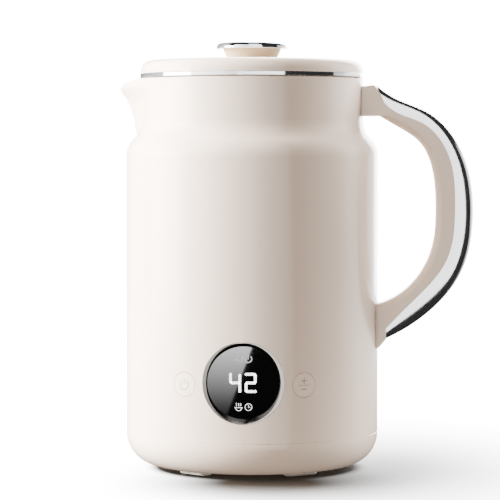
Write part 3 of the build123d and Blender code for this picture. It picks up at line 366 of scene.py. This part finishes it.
# %% Plastics, rubbers and boards
# Eroded grain and filler are about 0.1 mm in size; they are drawn coarser so that they show. The threads
# of the glass cloth are a quarter of a millimetre wide.
ERODED = grain(0.6, 3.0, 0.6)
SPECKLE = grain(0.8, 4.0, 0.7)
WOVEN = grain(1.0, 2.0, 0.5, (4.0, 1.0, 1.0))
black_abs = new_finish(
    "abs_black_textured",
    {"IOR": 1.52},
    shade=(ERODED, "#19191b", "#242426"),
    gloss=(ERODED, 0.45, 0.62),
    relief=(ERODED, 0.03, 0.4),
)
silicone = new_finish(
    "silicone_translucent",
    {"IOR": 1.41, "Subsurface Weight": 0.3, "Subsurface Scale": 0.002},
    shade=(grain(6.0, 2.0), "#d8d7d3", "#e6e5e2"),
    gloss=(grain(1.0, 2.0), 0.40, 0.52),
)
foot_rubber = new_finish(
    "rubber_pale_moulded",
    {"IOR": 1.5},
    shade=(SPECKLE, "#b3aca2", "#c3bcb2"),
    gloss=(SPECKLE, 0.60, 0.78),
    relief=(SPECKLE, 0.04, 0.5),
)
board_green = new_finish(
    "fr4_solder_mask",
    {"IOR": 1.5, "Coat Weight": 0.4},
    shade=(WOVEN, "#12482a", "#1a5c36"),
    gloss=(WOVEN, 0.30, 0.42),
)
print("made", black_abs.name, silicone.name, foot_rubber.name, board_green.name)

# %% [markdown]
# ## The display window
# The window is smoked PMMA: almost black, with a polished face that mirrors a card on the left. The
# digits behind it glow, and the softer marks are the same segments at a fraction of their light. The
# marks on the keys are pad printed in a grey ink that is drier than the plastic round it.

# %% Window, light and ink
HAZE = grain(30.0, 2.0)
smoked_pmma = new_finish(
    "pmma_smoked_window",
    {"IOR": 1.49, "Coat Weight": 0.0, "Specular IOR Level": 0.6},
    shade=(HAZE, "#010101", "#020202"),
    gloss=(HAZE, 0.02, 0.035),
)


def light_segment(name, colour, strength):
    """Light-emitting segment: even light of one colour over the whole face of its diffuser."""
    emission = {"Emission Color": linear(colour), "Emission Strength": strength}
    shade = (grain(2.0, 1.0), colour, colour)
    return new_finish(name, {"Roughness": 0.4, **emission}, shade=shade)


lit_segment = light_segment("led_diffuser_white", "#ffffff", 2.2)
icon_segment = light_segment("led_diffuser_half", "#eef0f2", 0.75)
soft_segment = light_segment("led_diffuser_dim", "#b9bdc2", 0.18)
grey_ink = new_finish(
    "pad_print_grey",
    {"IOR": 1.5},
    shade=(grain(1.0, 3.0), "#978f86", "#a19990"),
    gloss=(grain(1.0, 2.0), 0.45, 0.6),
)
print("made", smoked_pmma.name, lit_segment.name, grey_ink.name)

# %% [markdown]
# ## Dress the parts that keep their own shape
# Most parts are already right in shape. They keep it and only take a material, chosen by the record's
# material slot, so that nothing is forgotten. Four parts have a finish of their own within their slot.

# %% Assign materials by slot
SLOT_MATERIAL = {
    "cream_gloss": glossy_cream,
    "cream_satin": satin_cream,
    "bright_chrome": chrome,
    "steel": brushed_steel,
    "screw_steel": zinc,
    "cast_aluminium": aluminium,
    "pin_brass": brass,
    "dark_plastic": black_abs,
    "board_green": board_green,
    "silicone": silicone,
    "foot_rubber": foot_rubber,
    "black_glass": smoked_pmma,
}
OWN_MATERIAL = {
    "display_bezel": satin_metal,
    "knob_body": sand_satin_and_shade,
    "base_cover": glossy_cream,
    "handle_body": handle_cream,
}
for entry in frame["record"]["subparts"]:
    dress = OWN_MATERIAL.get(entry["node"], SLOT_MATERIAL[entry["material_slot"]])
    part = nodes[entry["node"]]
    part.data.materials.clear()
    part.data.materials.append(dress)

# %% [markdown]
# ## The cap of the knob
# The bright cap is a shallow button: its edge swells out from a small chamfer below and rolls over into
# the top along a quarter of an ellipse. That roll is what draws the dark line along its upper edge, for
# it mirrors the unlit air above.

# %% Knob cap
CAP_CHAMFER = 0.5
CAP_ROLL_ACROSS, CAP_ROLL_DOWN = 3.2, 2.4
CAP_ROLL_POINTS = 17
cap_radius, cap_foot, cap_top = cap_high[0], cap_low[2], cap_high[2]
roll = np.linspace(0, pi / 2, CAP_ROLL_POINTS)
roll_r = cap_radius - CAP_ROLL_ACROSS * (1 - np.cos(roll))
roll_z = cap_top - CAP_ROLL_DOWN * (1 - np.sin(roll))
cap_profile = [(0.0, cap_foot), (cap_radius - CAP_CHAMFER, cap_foot)]
cap_profile += [(cap_radius, cap_foot + CAP_CHAMFER), *zip(roll_r, roll_z), (0.0, cap_top)]
cap_piece = lathe("knob_cap_rolled", np.array(cap_profile))
finish_piece(cap_piece, "lid", "bright_chrome", chrome, "knob_cap")

# %% [markdown]
# ## The handle's bright trim
# The trim's side isn't flat: it is crowned, so its mirror turns away from us little by little. We take
# its two outlines from the engineered part, as distances over the angle about the middle of the grip's
# hole: the outer one where the part's own round begins, the inner one on its flat side.

# %% The trim's two outlines
TRIM_MIDDLE = np.array((80.0, 150.0))  # x and z
TRIM_WIDTH = TRIM_HIGH[1]
TRIM_ROUND = 4.5
TRIM_REACH = 5.3  # least way from the inner to the outer outline
ON_LINE = 0.02  # a corner this close to a depth lies on it
ANGLE_DIGITS = 3
LOWEST_ANGLE = -2.5  # below it, in radians, an angle belongs to the end of the turn
trim_corners = corners_mm(nodes["handle_trim"])


def by_angle(depth):
    """Angle and distance about TRIM_MIDDLE of the corners at a depth, each angle once and sorted."""
    chosen = np.abs(trim_corners[:, 1] + depth) < ON_LINE
    away = trim_corners[chosen][:, (0, 2)] - TRIM_MIDDLE
    angle, distance = np.arctan2(away[:, 1], away[:, 0]), np.hypot(away[:, 0], away[:, 1])
    angle = np.where(angle < LOWEST_ANGLE, angle + 2 * pi, angle)
    first = np.unique(np.round(angle, ANGLE_DIGITS), return_index=True)[1]
    return angle[first], distance[first]


outer_angle, outer_distance = by_angle(TRIM_WIDTH - TRIM_ROUND)
side_angle, side_distance = by_angle(TRIM_WIDTH)
bow = np.gradient(outer_distance, outer_angle) / outer_distance
slant = np.sqrt(1 + np.interp(side_angle, outer_angle, bow) ** 2)
width_here = np.interp(side_angle, outer_angle, outer_distance) - side_distance
inner = width_here > TRIM_REACH * slant
inner_angle, inner_distance = side_angle[inner], side_distance[inner]
print(f"trim: {len(inner_angle)} inner and {len(outer_angle)} outer corners read")

# %% [markdown]
# Between the two outlines we lay a superellipse. Its depth is |cos a| and its way outwards sin a, both to
# the power of 2 / crown, so that it is flush with the grip at one end and round at the outer edge. A
# point in the middle of each end closes the shell.

# %% Trim with a crowned section
TRIM_CROWN = 3.4
TRIM_ROWS, TRIM_COLS = 241, 65


def smooth_between(t, knots, values):
    """Cubic through the knots: h00 v0 + h10 h m0 + h01 v1 + h11 h m1, where m is the slope at a knot."""
    slope = np.gradient(values, knots)
    i = np.clip(np.searchsorted(knots, t) - 1, 0, len(knots) - 2)
    h = knots[i + 1] - knots[i]
    u = (t - knots[i]) / h
    start = (1 + 2 * u) * (1 - u) ** 2 * values[i] + u * (1 - u) ** 2 * h * slope[i]
    return start + u**2 * (3 - 2 * u) * values[i + 1] - u**2 * (1 - u) * h * slope[i + 1]


def outline(angles, distances, share):
    """Point (x, z) of an outline at a share of its angle, from its lower end to its upper end."""
    angle = angles[0] + share * (angles[-1] - angles[0])
    distance = smooth_between(angle, angles, distances)
    return TRIM_MIDDLE + distance[:, None] * np.stack([np.cos(angle), np.sin(angle)], -1)


along = np.linspace(0, 1, TRIM_ROWS)
near, far = outline(inner_angle, inner_distance, along), outline(outer_angle, outer_distance, along)
round_it = np.linspace(0, pi, TRIM_COLS)
outwards = np.sin(round_it) ** (2 / TRIM_CROWN)
depth = -np.sign(np.cos(round_it)) * np.abs(np.cos(round_it)) ** (2 / TRIM_CROWN) * TRIM_WIDTH
section = near[:, None, :] + outwards[None, :, None] * (far - near)[:, None, :]
section_x, section_z = section[..., 0], section[..., 1]
trim_points = np.stack([section_x, depth + 0 * section_x, section_z], -1)
end_row = np.ones((1, TRIM_COLS, 1))
lower_end = trim_points[:1].mean(axis=1, keepdims=True) * end_row
upper_end = trim_points[-1:].mean(axis=1, keepdims=True) * end_row
trim_points = np.concatenate([lower_end, trim_points, upper_end])
trim_points[..., 0] = np.minimum(trim_points[..., 0], TRIM_HIGH[0])
trim_piece = grid_object("handle_trim_crowned", trim_points)
finish_piece(trim_piece, "body", "bright_chrome", soft_chrome, "handle_trim")

# %% [markdown]
# ## Marks as bands
# The lit marks are thin plates a hair in front of the window, so that they glow through its gloss. Each
# mark is a band along a middle line: a straight one with round ends makes the bars of the digits, and one
# along an arc makes the rings. A band is a strip of short quads, so it can also follow a curved surface.

# %% Bands and plates
ROUND_END_POINTS = 7
BAND_SPACING = 0.3
MARK_DEPTH = 0.03


def band(middle, half_width):
    """The two edges of a band: its middle line moved along its normal by half a width each way."""
    way = np.gradient(middle, axis=0)
    way = way / np.linalg.norm(way, axis=1, keepdims=True)
    aside = np.stack([-way[:, 1], way[:, 0]], -1)
    aside = aside * np.broadcast_to(half_width, len(middle))[:, None]
    return middle - aside, middle + aside


def capsule(a, b, width):
    """Band from a to b with round ends: half its width is sqrt(r^2 - d^2), d the way past an end."""
    a, b = np.array(a, float), np.array(b, float)
    length, r = np.linalg.norm(b - a), width / 2
    round_end = r * np.cos(np.linspace(0, pi / 2, ROUND_END_POINTS))
    inside = np.linspace(0, length, max(3, int(length / BAND_SPACING) + 2))[1:-1]
    along = np.concatenate([-round_end, inside, length + round_end[::-1]])
    past = np.maximum(0, np.maximum(-along, along - length))
    middle = a + along[:, None] * (b - a) / length
    return band(middle, np.sqrt(np.maximum(r**2 - past**2, 0)))


def arc_band(centre, radius, width, start, stop, steps=40):
    """Band of even width along an arc about the centre, from start to stop in degrees."""
    angle = np.radians(np.linspace(start, stop, steps + 1))
    middle = np.array(centre) + radius * np.stack([np.cos(angle), np.sin(angle)], -1)
    return band(middle, width / 2)


def flat_marks(name, bands, place):
    """Closed plates: a band's section is a loop of four corners, set into space by place(u, v, depth)."""
    points, faces, first = [], [], 0
    for left, right in bands:
        count = len(left)
        back = [place(*edge.T, 0.0) for edge in (left, right)]
        front = [place(*edge.T, MARK_DEPTH) for edge in (right, left)]
        r, c = np.meshgrid(np.arange(count - 1), np.arange(4), indexing="ij")
        c2 = (c + 1) % 4
        sides = np.stack([r * 4 + c, r * 4 + c2, r * 4 + 4 + c2, r * 4 + 4 + c], -1).reshape(-1, 4)
        ends = np.array([[3, 2, 1, 0], [0, 1, 2, 3]]) + [[0], [4 * count - 4]]
        points.append(np.stack(back + front, 1).reshape(-1, 3))
        faces.append(np.concatenate([sides, ends]) + first)
        first += 4 * count
    return mesh_object(name, np.concatenate(points), np.concatenate(faces))


# %% [markdown]
# ## The digits and icons
# The digits are built from the seven bars of a segment display, of which a four lights four and a two
# lights five. Most bars stop a little short of the corner that they share, so that their round ends give
# the digit soft corners.

# %% Digits on the window
MARK_GAP = 0.02
DIGIT_HEIGHT = 10.9
DIGIT_WIDTH = 6.5
DIGIT_STROKE = 1.4
DIGIT_SPACE = 2.1
DIGIT_CUT = 0.55
DIGITS_MIDDLE = -0.35
SEGMENTS = {"4": "fgbc", "2": "abged"}


def on_window(u, v, depth):
    """Just in front of the flat window: u to the right, v up, depth towards the eye."""
    return np.stack([u, GLASS_Y - MARK_GAP - depth + 0 * u, DISPLAY_Z + v], -1)


def digit(symbol, left):
    """Capsules between the corners of a digit: a top, b c right, d bottom, e f left, g middle."""
    x0, x1 = left + DIGIT_STROKE / 2, left + DIGIT_WIDTH - DIGIT_STROKE / 2
    top, cut = DIGIT_HEIGHT / 2 - DIGIT_STROKE / 2, DIGIT_CUT
    ends = {
        "a": ((x0, top), (x1 - cut, top)),
        "b": ((x1, cut), (x1, top - cut)),
        "c": ((x1, -top), (x1, -cut)),
        "d": ((x0 + cut, -top), (x1, -top)),
        "e": ((x0, cut - top), (x0, -cut)),
        "f": ((x0, cut), (x0, top)),
        "g": ((x0 + cut, 0), (x1 - cut, 0)),
    }
    return [capsule(*ends[letter], DIGIT_STROKE) for letter in SEGMENTS[symbol]]


digits = digit("4", DIGITS_MIDDLE - DIGIT_SPACE / 2 - DIGIT_WIDTH)
digits += digit("2", DIGITS_MIDDLE + DIGIT_SPACE / 2)
digit_marks = flat_marks("display_digits", digits, on_window)
finish_piece(digit_marks, "body", "black_glass", lit_segment)

# %% [markdown]
# Below the digits glow a steaming bowl and a clock, and above them, almost out, three rising bars and a
# power sign. They stand where the real labels are and say the same without a word.

# %% Icons above and below the digits
ICON_ASIDE, ICON_DROP, ICON_RISE = 2.7, -13.4, 13.2
ICON_RING = 1.9
ICON_STROKE, THIN_STROKE = 0.36, 0.34
BOWL_TOP, BOWL_RADIUS, BOWL_RIM = -0.3, 1.75, 2.1
STEAM_X, STEAM_FOOT, STEAM_TOP = (-1.2, 0.0, 1.2), 0.6, 2.1
CLOCK_HANDS = ((0.0, 1.1), (0.8, 0.0))
SOFT_STROKE, SOFT_BAR_STROKE = 0.6, 0.7
BOWL_ARC, CLOCK_HALVES, SOFT_ARC = (180, 360), ((-88, 88), (92, 268)), (-230, 50)
SOFT_BAR_FOOT = -1.6
SOFT_BAR_TOPS = {-4.2: -0.4, -2.6: 0.8, -1.0: 2.0}
SOFT_RING_X, SOFT_STEM = 2.6, 2.2


def steam(x, y):
    """A bowl under three rising strokes: the usual sign for boiling."""
    rising = [((x + d, y + STEAM_FOOT), (x + d, y + STEAM_TOP)) for d in STEAM_X]
    strokes = [capsule(*ends, THIN_STROKE) for ends in rising]
    top = y + BOWL_TOP
    bowl = arc_band((x, top), BOWL_RADIUS, ICON_STROKE, *BOWL_ARC)
    rim = capsule((x - BOWL_RIM, top), (x + BOWL_RIM, top), ICON_STROKE)
    return strokes + [bowl, rim]


def clock(x, y):
    """A ring of two halves with two hands: the usual sign for keeping warm."""
    ring = [arc_band((x, y), ICON_RING, ICON_STROKE, *half, steps=30) for half in CLOCK_HALVES]
    hands = [capsule((x, y), (x + u, y + v), THIN_STROKE) for u, v in CLOCK_HANDS]
    return ring + hands


icons = steam(-ICON_ASIDE, ICON_DROP) + clock(ICON_ASIDE, ICON_DROP)
icon_marks = flat_marks("display_icons", icons, on_window)
finish_piece(icon_marks, "body", "black_glass", icon_segment)

soft = []
for x, top in SOFT_BAR_TOPS.items():
    foot_and_top = (x, ICON_RISE + SOFT_BAR_FOOT), (x, ICON_RISE + top)
    soft.append(capsule(*foot_and_top, SOFT_BAR_STROKE))
ring_middle, stem_top = (SOFT_RING_X, ICON_RISE), (SOFT_RING_X, ICON_RISE + SOFT_STEM)
soft.append(arc_band(ring_middle, ICON_RING, SOFT_STROKE, *SOFT_ARC))
soft.append(capsule(ring_middle, stem_top, SOFT_STROKE))
soft_marks = flat_marks("display_soft_icons", soft, on_window)
finish_piece(soft_marks, "body", "black_glass", soft_segment)

# %% [markdown]
# ## The marks on the keys
# Each key carries a small grey print: a power sign on one, plus and minus on the other. They follow the
# barrel's cylinder, so a point is set by its arc from the key's middle and its height.

# %% Prints on the keys
KEY_ANGLE = radians(27.3)
PRINT_LIFT = 0.004
PRINT_THINNER = 0.3  # a print is this much thinner than a mark on the window
POWER_MIDDLE, POWER_RADIUS, POWER_ARC = (0, -0.3), 2.6, (122, 418)
POWER_STEM = (0, 0.5), (0, 3.0)
POWER_STROKE, SIGN_STROKE, DIVIDER_STROKE = 0.62, 0.55, 0.28
SIGN_HALF, DIVIDER_HALF = 1.5, 3.6
PLUS_V, MINUS_V = 2.4, -2.3


def on_key(side):
    """Places (u, v, depth) on the barrel round the key at that side: u becomes an arc, v a height."""

    def place(u, v, depth):
        angle = KEY_ANGLE * side + u / BODY_RADIUS
        r = BODY_RADIUS + PRINT_LIFT + depth * PRINT_THINNER
        return np.stack([r * np.sin(angle), -r * np.cos(angle), KEY_Z + v], -1)

    return place


def across(v, half, stroke):
    """Level bar at height v that reaches half its length to either side."""
    return capsule((-half, v), (half, v), stroke)


power_sign = [
    arc_band(POWER_MIDDLE, POWER_RADIUS, POWER_STROKE, *POWER_ARC),
    capsule(*POWER_STEM, POWER_STROKE),
]
plus_minus = [
    across(PLUS_V, SIGN_HALF, SIGN_STROKE),
    capsule((0, PLUS_V - SIGN_HALF), (0, PLUS_V + SIGN_HALF), SIGN_STROKE),
    across(0, DIVIDER_HALF, DIVIDER_STROKE),
    across(MINUS_V, SIGN_HALF, SIGN_STROKE),
]
left_print = flat_marks("left_key_print", power_sign, on_key(-1))
finish_piece(left_print, "left_key", "cream_gloss", grey_ink)
right_print = flat_marks("right_key_print", plus_minus, on_key(1))
finish_piece(right_print, "right_key", "cream_gloss", grey_ink)

# %% [markdown]
# ## The table
# The floor is a sweep of matt opal acrylic that runs forwards under the camera and turns up behind the
# kettle. Only the camera sees it, so it throws no light up into the kettle's shaded side.

# %% The sweep
SWEEP_HALF_WIDTH = 4000.0
SWEEP_FRONT = -4000.0
SWEEP_BACK = 1600.0
SWEEP_CURVE = 700.0
SWEEP_CURVE_POINTS = 33
SWEEP_HEIGHT = 3200.0
turn = np.linspace(0, pi / 2, SWEEP_CURVE_POINTS)
arc = np.stack([SWEEP_BACK + SWEEP_CURVE * np.sin(turn), SWEEP_CURVE * (1 - np.cos(turn))], -1)
side_line = np.concatenate([[[SWEEP_FRONT, 0.0]], arc, [[SWEEP_BACK + SWEEP_CURVE, SWEEP_HEIGHT]]])
sweep_x = np.array([-SWEEP_HALF_WIDTH, SWEEP_HALF_WIDTH])
sweep_y, sweep_z = side_line[:, :1] + 0 * sweep_x, side_line[:, 1:] + 0 * sweep_x
sweep_points = np.stack([sweep_x + 0 * sweep_y, sweep_y, sweep_z], -1)
sweep = grid_object("studio_sweep", sweep_points, closed_rows=False)
sweep.visible_diffuse = False
sweep.visible_glossy = False
print("sweep of", len(sweep.data.polygons), "faces")

# %% [markdown]
# It glows as a light table would, from a hand's breadth off the kettle outwards, and the kettle's shadows
# are painted into that glow. Three zones dim it: a painted soft shadow beside the kettle, away from the
# light, a short painted shadow in front of the foot, and painted dark under the foot. A fourth zone mixes
# the acrylic's base colour darker near the contact: a painted contact shadow.

# %% Its glow
GLOW = 17.0
PAINTED_SHADOW_LEAST = 1.35
# Painted shadow: these zones dim the glow where the kettle's shadows would fall on the table.
PAINTED_SHADOW = {"centre": (70.0, -10.0, 0.0), "shape": (1.0, 0.55, 1.0), "reach": (10.0, 195.0)}
PAINTED_FRONT_SHADOW = {"centre": (14.0, -72.0, 0.0), "shape": EVEN, "reach": (22.0, 100.0)}
PAINTED_UNDER_SHADE = {"centre": (2.0, 0.0, 0.0), "shape": EVEN, "reach": (56.0, 66.0)}
# Painted contact shadow: the zone where the table's base colour darkens towards the kettle.
PAINTED_CONTACT_SHADE = {"centre": (14.0, -34.0, 0.0), "shape": (0.7, 1.0, 1.0), "reach": (40.0, 80.0)}
MIX_SHARE, MIX_FIRST, MIX_SECOND, MIX_COLOUR = 0, 6, 7, 2  # sockets of a Mix node for colours
acrylic = new_finish(
    "acrylic_opal_matte_painted_shadow",
    {"IOR": 1.49, "Specular IOR Level": 0.2, "Emission Color": linear("#ffffff")},
    gloss=(grain(50.0, 2.0), 0.75, 0.85),
)
tree = acrylic.node_tree
place = add_node(tree, "ShaderNodeTexCoord").outputs["Object"]


def light_beyond(centre, shape, reach, full=1.0, least=0.0):
    """Smooth rise from least to full between two distances (mm) from a centre, stretched by shape."""
    moved = {"Location": [-c * k * MM for c, k in zip(centre, shape)], "Scale": shape}
    shift = add_node(tree, "ShaderNodeMapping", moved, {"Vector": place})
    from_centre = {0: shift.outputs["Vector"]}
    away = add_node(tree, "ShaderNodeVectorMath", {"operation": "LENGTH"}, from_centre)
    ends = {"From Min": reach[0] * MM, "From Max": reach[1] * MM, "To Min": least, "To Max": full}
    smooth = {"interpolation_type": "SMOOTHSTEP", **ends}
    rise = add_node(tree, "ShaderNodeMapRange", smooth, {"Value": away.outputs["Value"]})
    return rise.outputs["Result"]


# The glow, dimmed in the painted shadow zones beside the kettle, in front of the foot and under it.
glow = light_beyond(**PAINTED_SHADOW, full=GLOW, least=PAINTED_SHADOW_LEAST)
for zone in (PAINTED_FRONT_SHADOW, PAINTED_UNDER_SHADE):
    factors = {0: glow, 1: light_beyond(**zone)}
    product = add_node(tree, "ShaderNodeMath", {"operation": "MULTIPLY"}, factors)
    glow = product.outputs["Value"]
# Painted contact shadow: dark brown near the contact, dark grey farther out.
shades = {"data_type": "RGBA", MIX_FIRST: linear("#221d18"), MIX_SECOND: linear("#625f5d")}
painted_contact_colour = add_node(tree, "ShaderNodeMix", shades, {MIX_SHARE: light_beyond(**PAINTED_CONTACT_SHADE)})
surface = tree.nodes[SHADER]
tree.links.new(painted_contact_colour.outputs[MIX_COLOUR], surface.inputs["Base Color"])
tree.links.new(glow, surface.inputs["Emission Strength"])
sweep.data.materials.append(acrylic)
print("made", acrylic.name, "with", len(tree.nodes), "nodes")

# %% [markdown]
# ## The lamps
# The photograph's shading tells where its light was. The barrel is almost white where it faces left,
# falls to a warm grey a little right of the middle and turns white again at its right edge. So a large
# soft lamp stands on the left, a weak warm one in front, a narrow one on the right and a wide panel
# behind, and a faint one lies on the table for the light that comes back up. None shows in a mirror.

# %% The lamps and the air
LAMP_AIM = (0.0, 0.0, 0.12)
AIR_GLOW = 0.04
LAMPS = {
    # name: centre, size, radiance, colour, whether the camera may see it
    "key_left": ((-1595, 190, 720), (1900, 1300), 90.0, "#ffffff", True),
    "front_pale": ((-900, -2250, 1000), (2800, 2200), 3.35, "#fff3e6", True),
    "fill_right": ((1650, 620, 500), (1000, 1500), 17.0, "#ffffff", True),
    "panel_behind": ((500, 1500, 900), (3800, 2400), 10.0, "#ffffff", False),
    "floor_bounce": ((0, -20, 1), (300, 300), 0.5, "#fff4e6", False),
}


def softbox(name, centre, size, radiance, colour, seen):
    """Rectangular area light at centre (mm), aimed at the kettle; its power is pi, area and radiance."""
    light = bpy.data.lights.new(name, "AREA")
    light.shape = "RECTANGLE"
    light.size, light.size_y = size[0] * MM, size[1] * MM
    light.energy = pi * light.size * light.size_y * radiance
    light.color = linear(colour)[:3]
    lamp = bpy.data.objects.new(name, light)
    bpy.context.scene.collection.objects.link(lamp)
    spot = Vector(centre) * MM
    lamp.matrix_world = Matrix.Translation(spot) @ look_matrix(spot, LAMP_AIM)
    lamp.visible_camera = seen
    lamp.visible_glossy = False
    return lamp


lamps = {name: softbox(name, *measures) for name, measures in LAMPS.items()}
table_spot = Vector(LAMPS["floor_bounce"][0]) * MM
lamps["floor_bounce"].matrix_world = Matrix.Translation(table_spot) @ Matrix.Rotation(pi, 4, "X")
world = bpy.data.worlds.new("studio_air")
world.use_nodes = True
air = world.node_tree.nodes["Background"]
air.inputs["Color"].default_value = linear("#ffffff")
air.inputs["Strength"].default_value = AIR_GLOW
bpy.context.scene.world = world
print("lamps:", *lamps)

# %% [markdown]
# ## Cards that only mirrors see
# The lid's band mirrors white on the left, pale grey in front, black on the right and white behind. A
# ring of upright cards gives every bright metal just that: each is an arc 1.5 m away, from one direction
# to another in degrees from the front, and its glow blends from one end to the other. Where there is no
# card the metal mirrors black.

# %% The ring of cards
MIRROR_DISTANCE = 1500.0
MIRROR_STEPS = 9
MIRROR_CARDS = {
    # name: start and end in degrees, glow at the start and the end, lowest and highest z in mm
    "card_left_back": (-172, -97, 0.05, 2.0, -35, 1900),
    "card_left": (-97, -60, 22.0, 22.0, -35, 700),
    "card_left_front": (-60, -12, 7.0, 2.0, -35, 1700),
    "card_front": (-12, -1, 3.0, 3.3, -35, 3500),
    "card_front_low": (-1, 36, 3.3, 3.8, -450, 3500),
    "card_right": (94, 112, 0.9, 1.6, -35, 900),
    "card_right_back": (112, 150, 2.5, 4.0, -35, 700),
    "card_behind": (150, 188, 16.0, 16.0, -35, 1900),
}
card_lit = new_finish(
    "card_white_matte_lit",
    {"Roughness": 0.9, "Emission Color": linear("#ffffff")},
    shade=(grain(20.0, 2.0), "#151515", "#181818"),
)
tree = card_lit.node_tree
read_glow = add_node(tree, "ShaderNodeAttribute", {"attribute_name": "glow"})
tree.links.new(read_glow.outputs["Fac"], tree.nodes[SHADER].inputs["Emission Strength"])


def for_mirrors(card, material):
    """Dresses a card and hides it from the camera, from diffuse light and from shadows."""
    card.data.materials.append(material)
    card.visible_camera = card.visible_diffuse = card.visible_shadow = False


def store_glow(card, values):
    """Keeps a glow for each corner in the attribute that the card's material reads."""
    card.data.attributes.new("glow", "FLOAT", "POINT").data.foreach_set("value", values)


def mirror_card(name, start_turn, end_turn, start_glow, end_glow, low, top):
    """Upright arc (D sin a, -D cos a, z); its glow is start + (end - start) * share of the arc."""
    turn = np.radians(np.linspace(start_turn, end_turn, MIRROR_STEPS))
    z = np.array([[low], [top]]) + 0 * turn
    x, y = MIRROR_DISTANCE * np.sin(turn) + 0 * z, -MIRROR_DISTANCE * np.cos(turn) + 0 * z
    card = grid_object(name, np.stack([x, y, z], -1), closed_rows=False)
    corner_x, corner_y = corners_mm(card)[:, :2].T
    share = (np.degrees(np.arctan2(corner_x, -corner_y)) - start_turn) / (end_turn - start_turn)
    store_glow(card, start_glow + (end_glow - start_glow) * share)
    for_mirrors(card, card_lit)


for name, measures in MIRROR_CARDS.items():
    mirror_card(name, *measures)
print("cards:", *MIRROR_CARDS)

# %% [markdown]
# Mirrors can't see the table, so a part of a flat ring just below it stands for it. The ring is dark at
# the kettle and brightens outwards, as the table does. It leaves out the right and the front, where the
# handle's trim mirrors a dark line.

# %% The ring that stands for the table
FLOOR_CARD = (250.0, 900.0, 1500.0)  # radii: dark at the first, full at the second
FLOOR_CARD_Z = -1.0
FLOOR_CARD_TURNS = (108.0, 340.0)
FLOOR_CARD_STEPS = 33
FLOOR_CARD_GLOW = 1.6
radius = np.array(FLOOR_CARD)[:, None]
turn = np.radians(np.linspace(*FLOOR_CARD_TURNS, FLOOR_CARD_STEPS))
ring_x, ring_y = radius * np.sin(turn), -radius * np.cos(turn)
floor_points = np.stack([ring_x, ring_y, FLOOR_CARD_Z + 0 * ring_x], -1)
floor_card = grid_object("card_floor", floor_points, closed_rows=False)
away = np.hypot(*corners_mm(floor_card)[:, :2].T)
rise = np.clip((away - FLOOR_CARD[0]) / (FLOOR_CARD[1] - FLOOR_CARD[0]), 0, 1)
store_glow(floor_card, FLOOR_CARD_GLOW * rise)
for_mirrors(floor_card, card_lit)
print("table's card of", len(floor_card.data.polygons), "faces")

# %% [markdown]
# ## The card that the flat window mirrors
# In the photograph a slanted edge runs across the window: grey on its left, fading downwards, and black
# on its right. A small card half a metre in front does that. Its right edge slants, and its glow grows
# with the square of its height.

# %% The glare card
CARD_Y = -500.0
CARD_LOW, CARD_TOP = -16.0, 46.0
CARD_LEFT = -75.0
CARD_EDGE = (-46.0, -23.0)
CARD_STEPS = 9
CARD_DARK = -20.0
CARD_GLOW = 24.0
CARD_FADE = 2.0
card_x = np.linspace(CARD_LEFT, CARD_EDGE, CARD_STEPS, axis=1)
card_z = np.array([[CARD_LOW], [CARD_TOP]]) + 0 * card_x
card_points = np.stack([card_x, CARD_Y + 0 * card_x, card_z], -1)
card = grid_object("glare_card", card_points, closed_rows=False)
card_white = new_finish(
    "card_white_lit",
    {"Roughness": 0.9, "Emission Color": linear("#ffffff")},
    shade=(grain(20.0, 2.0), "#030303", "#050505"),
)
tree = card_white.node_tree
place = add_node(tree, "ShaderNodeTexCoord").outputs["Object"]
height = add_node(tree, "ShaderNodeSeparateXYZ", links={"Vector": place}).outputs["Z"]
heights = {"From Min": CARD_DARK * MM, "From Max": CARD_TOP * MM}
fade = add_node(tree, "ShaderNodeMapRange", heights, {"Value": height}).outputs["Result"]
square = add_node(tree, "ShaderNodeMath", {"operation": "POWER", 1: CARD_FADE}, {0: fade})
full = {"operation": "MULTIPLY", 1: CARD_GLOW}
scale = add_node(tree, "ShaderNodeMath", full, {0: square.outputs["Value"]})
tree.links.new(scale.outputs["Value"], tree.nodes[SHADER].inputs["Emission Strength"])
for_mirrors(card, card_white)
print("made", card.name)
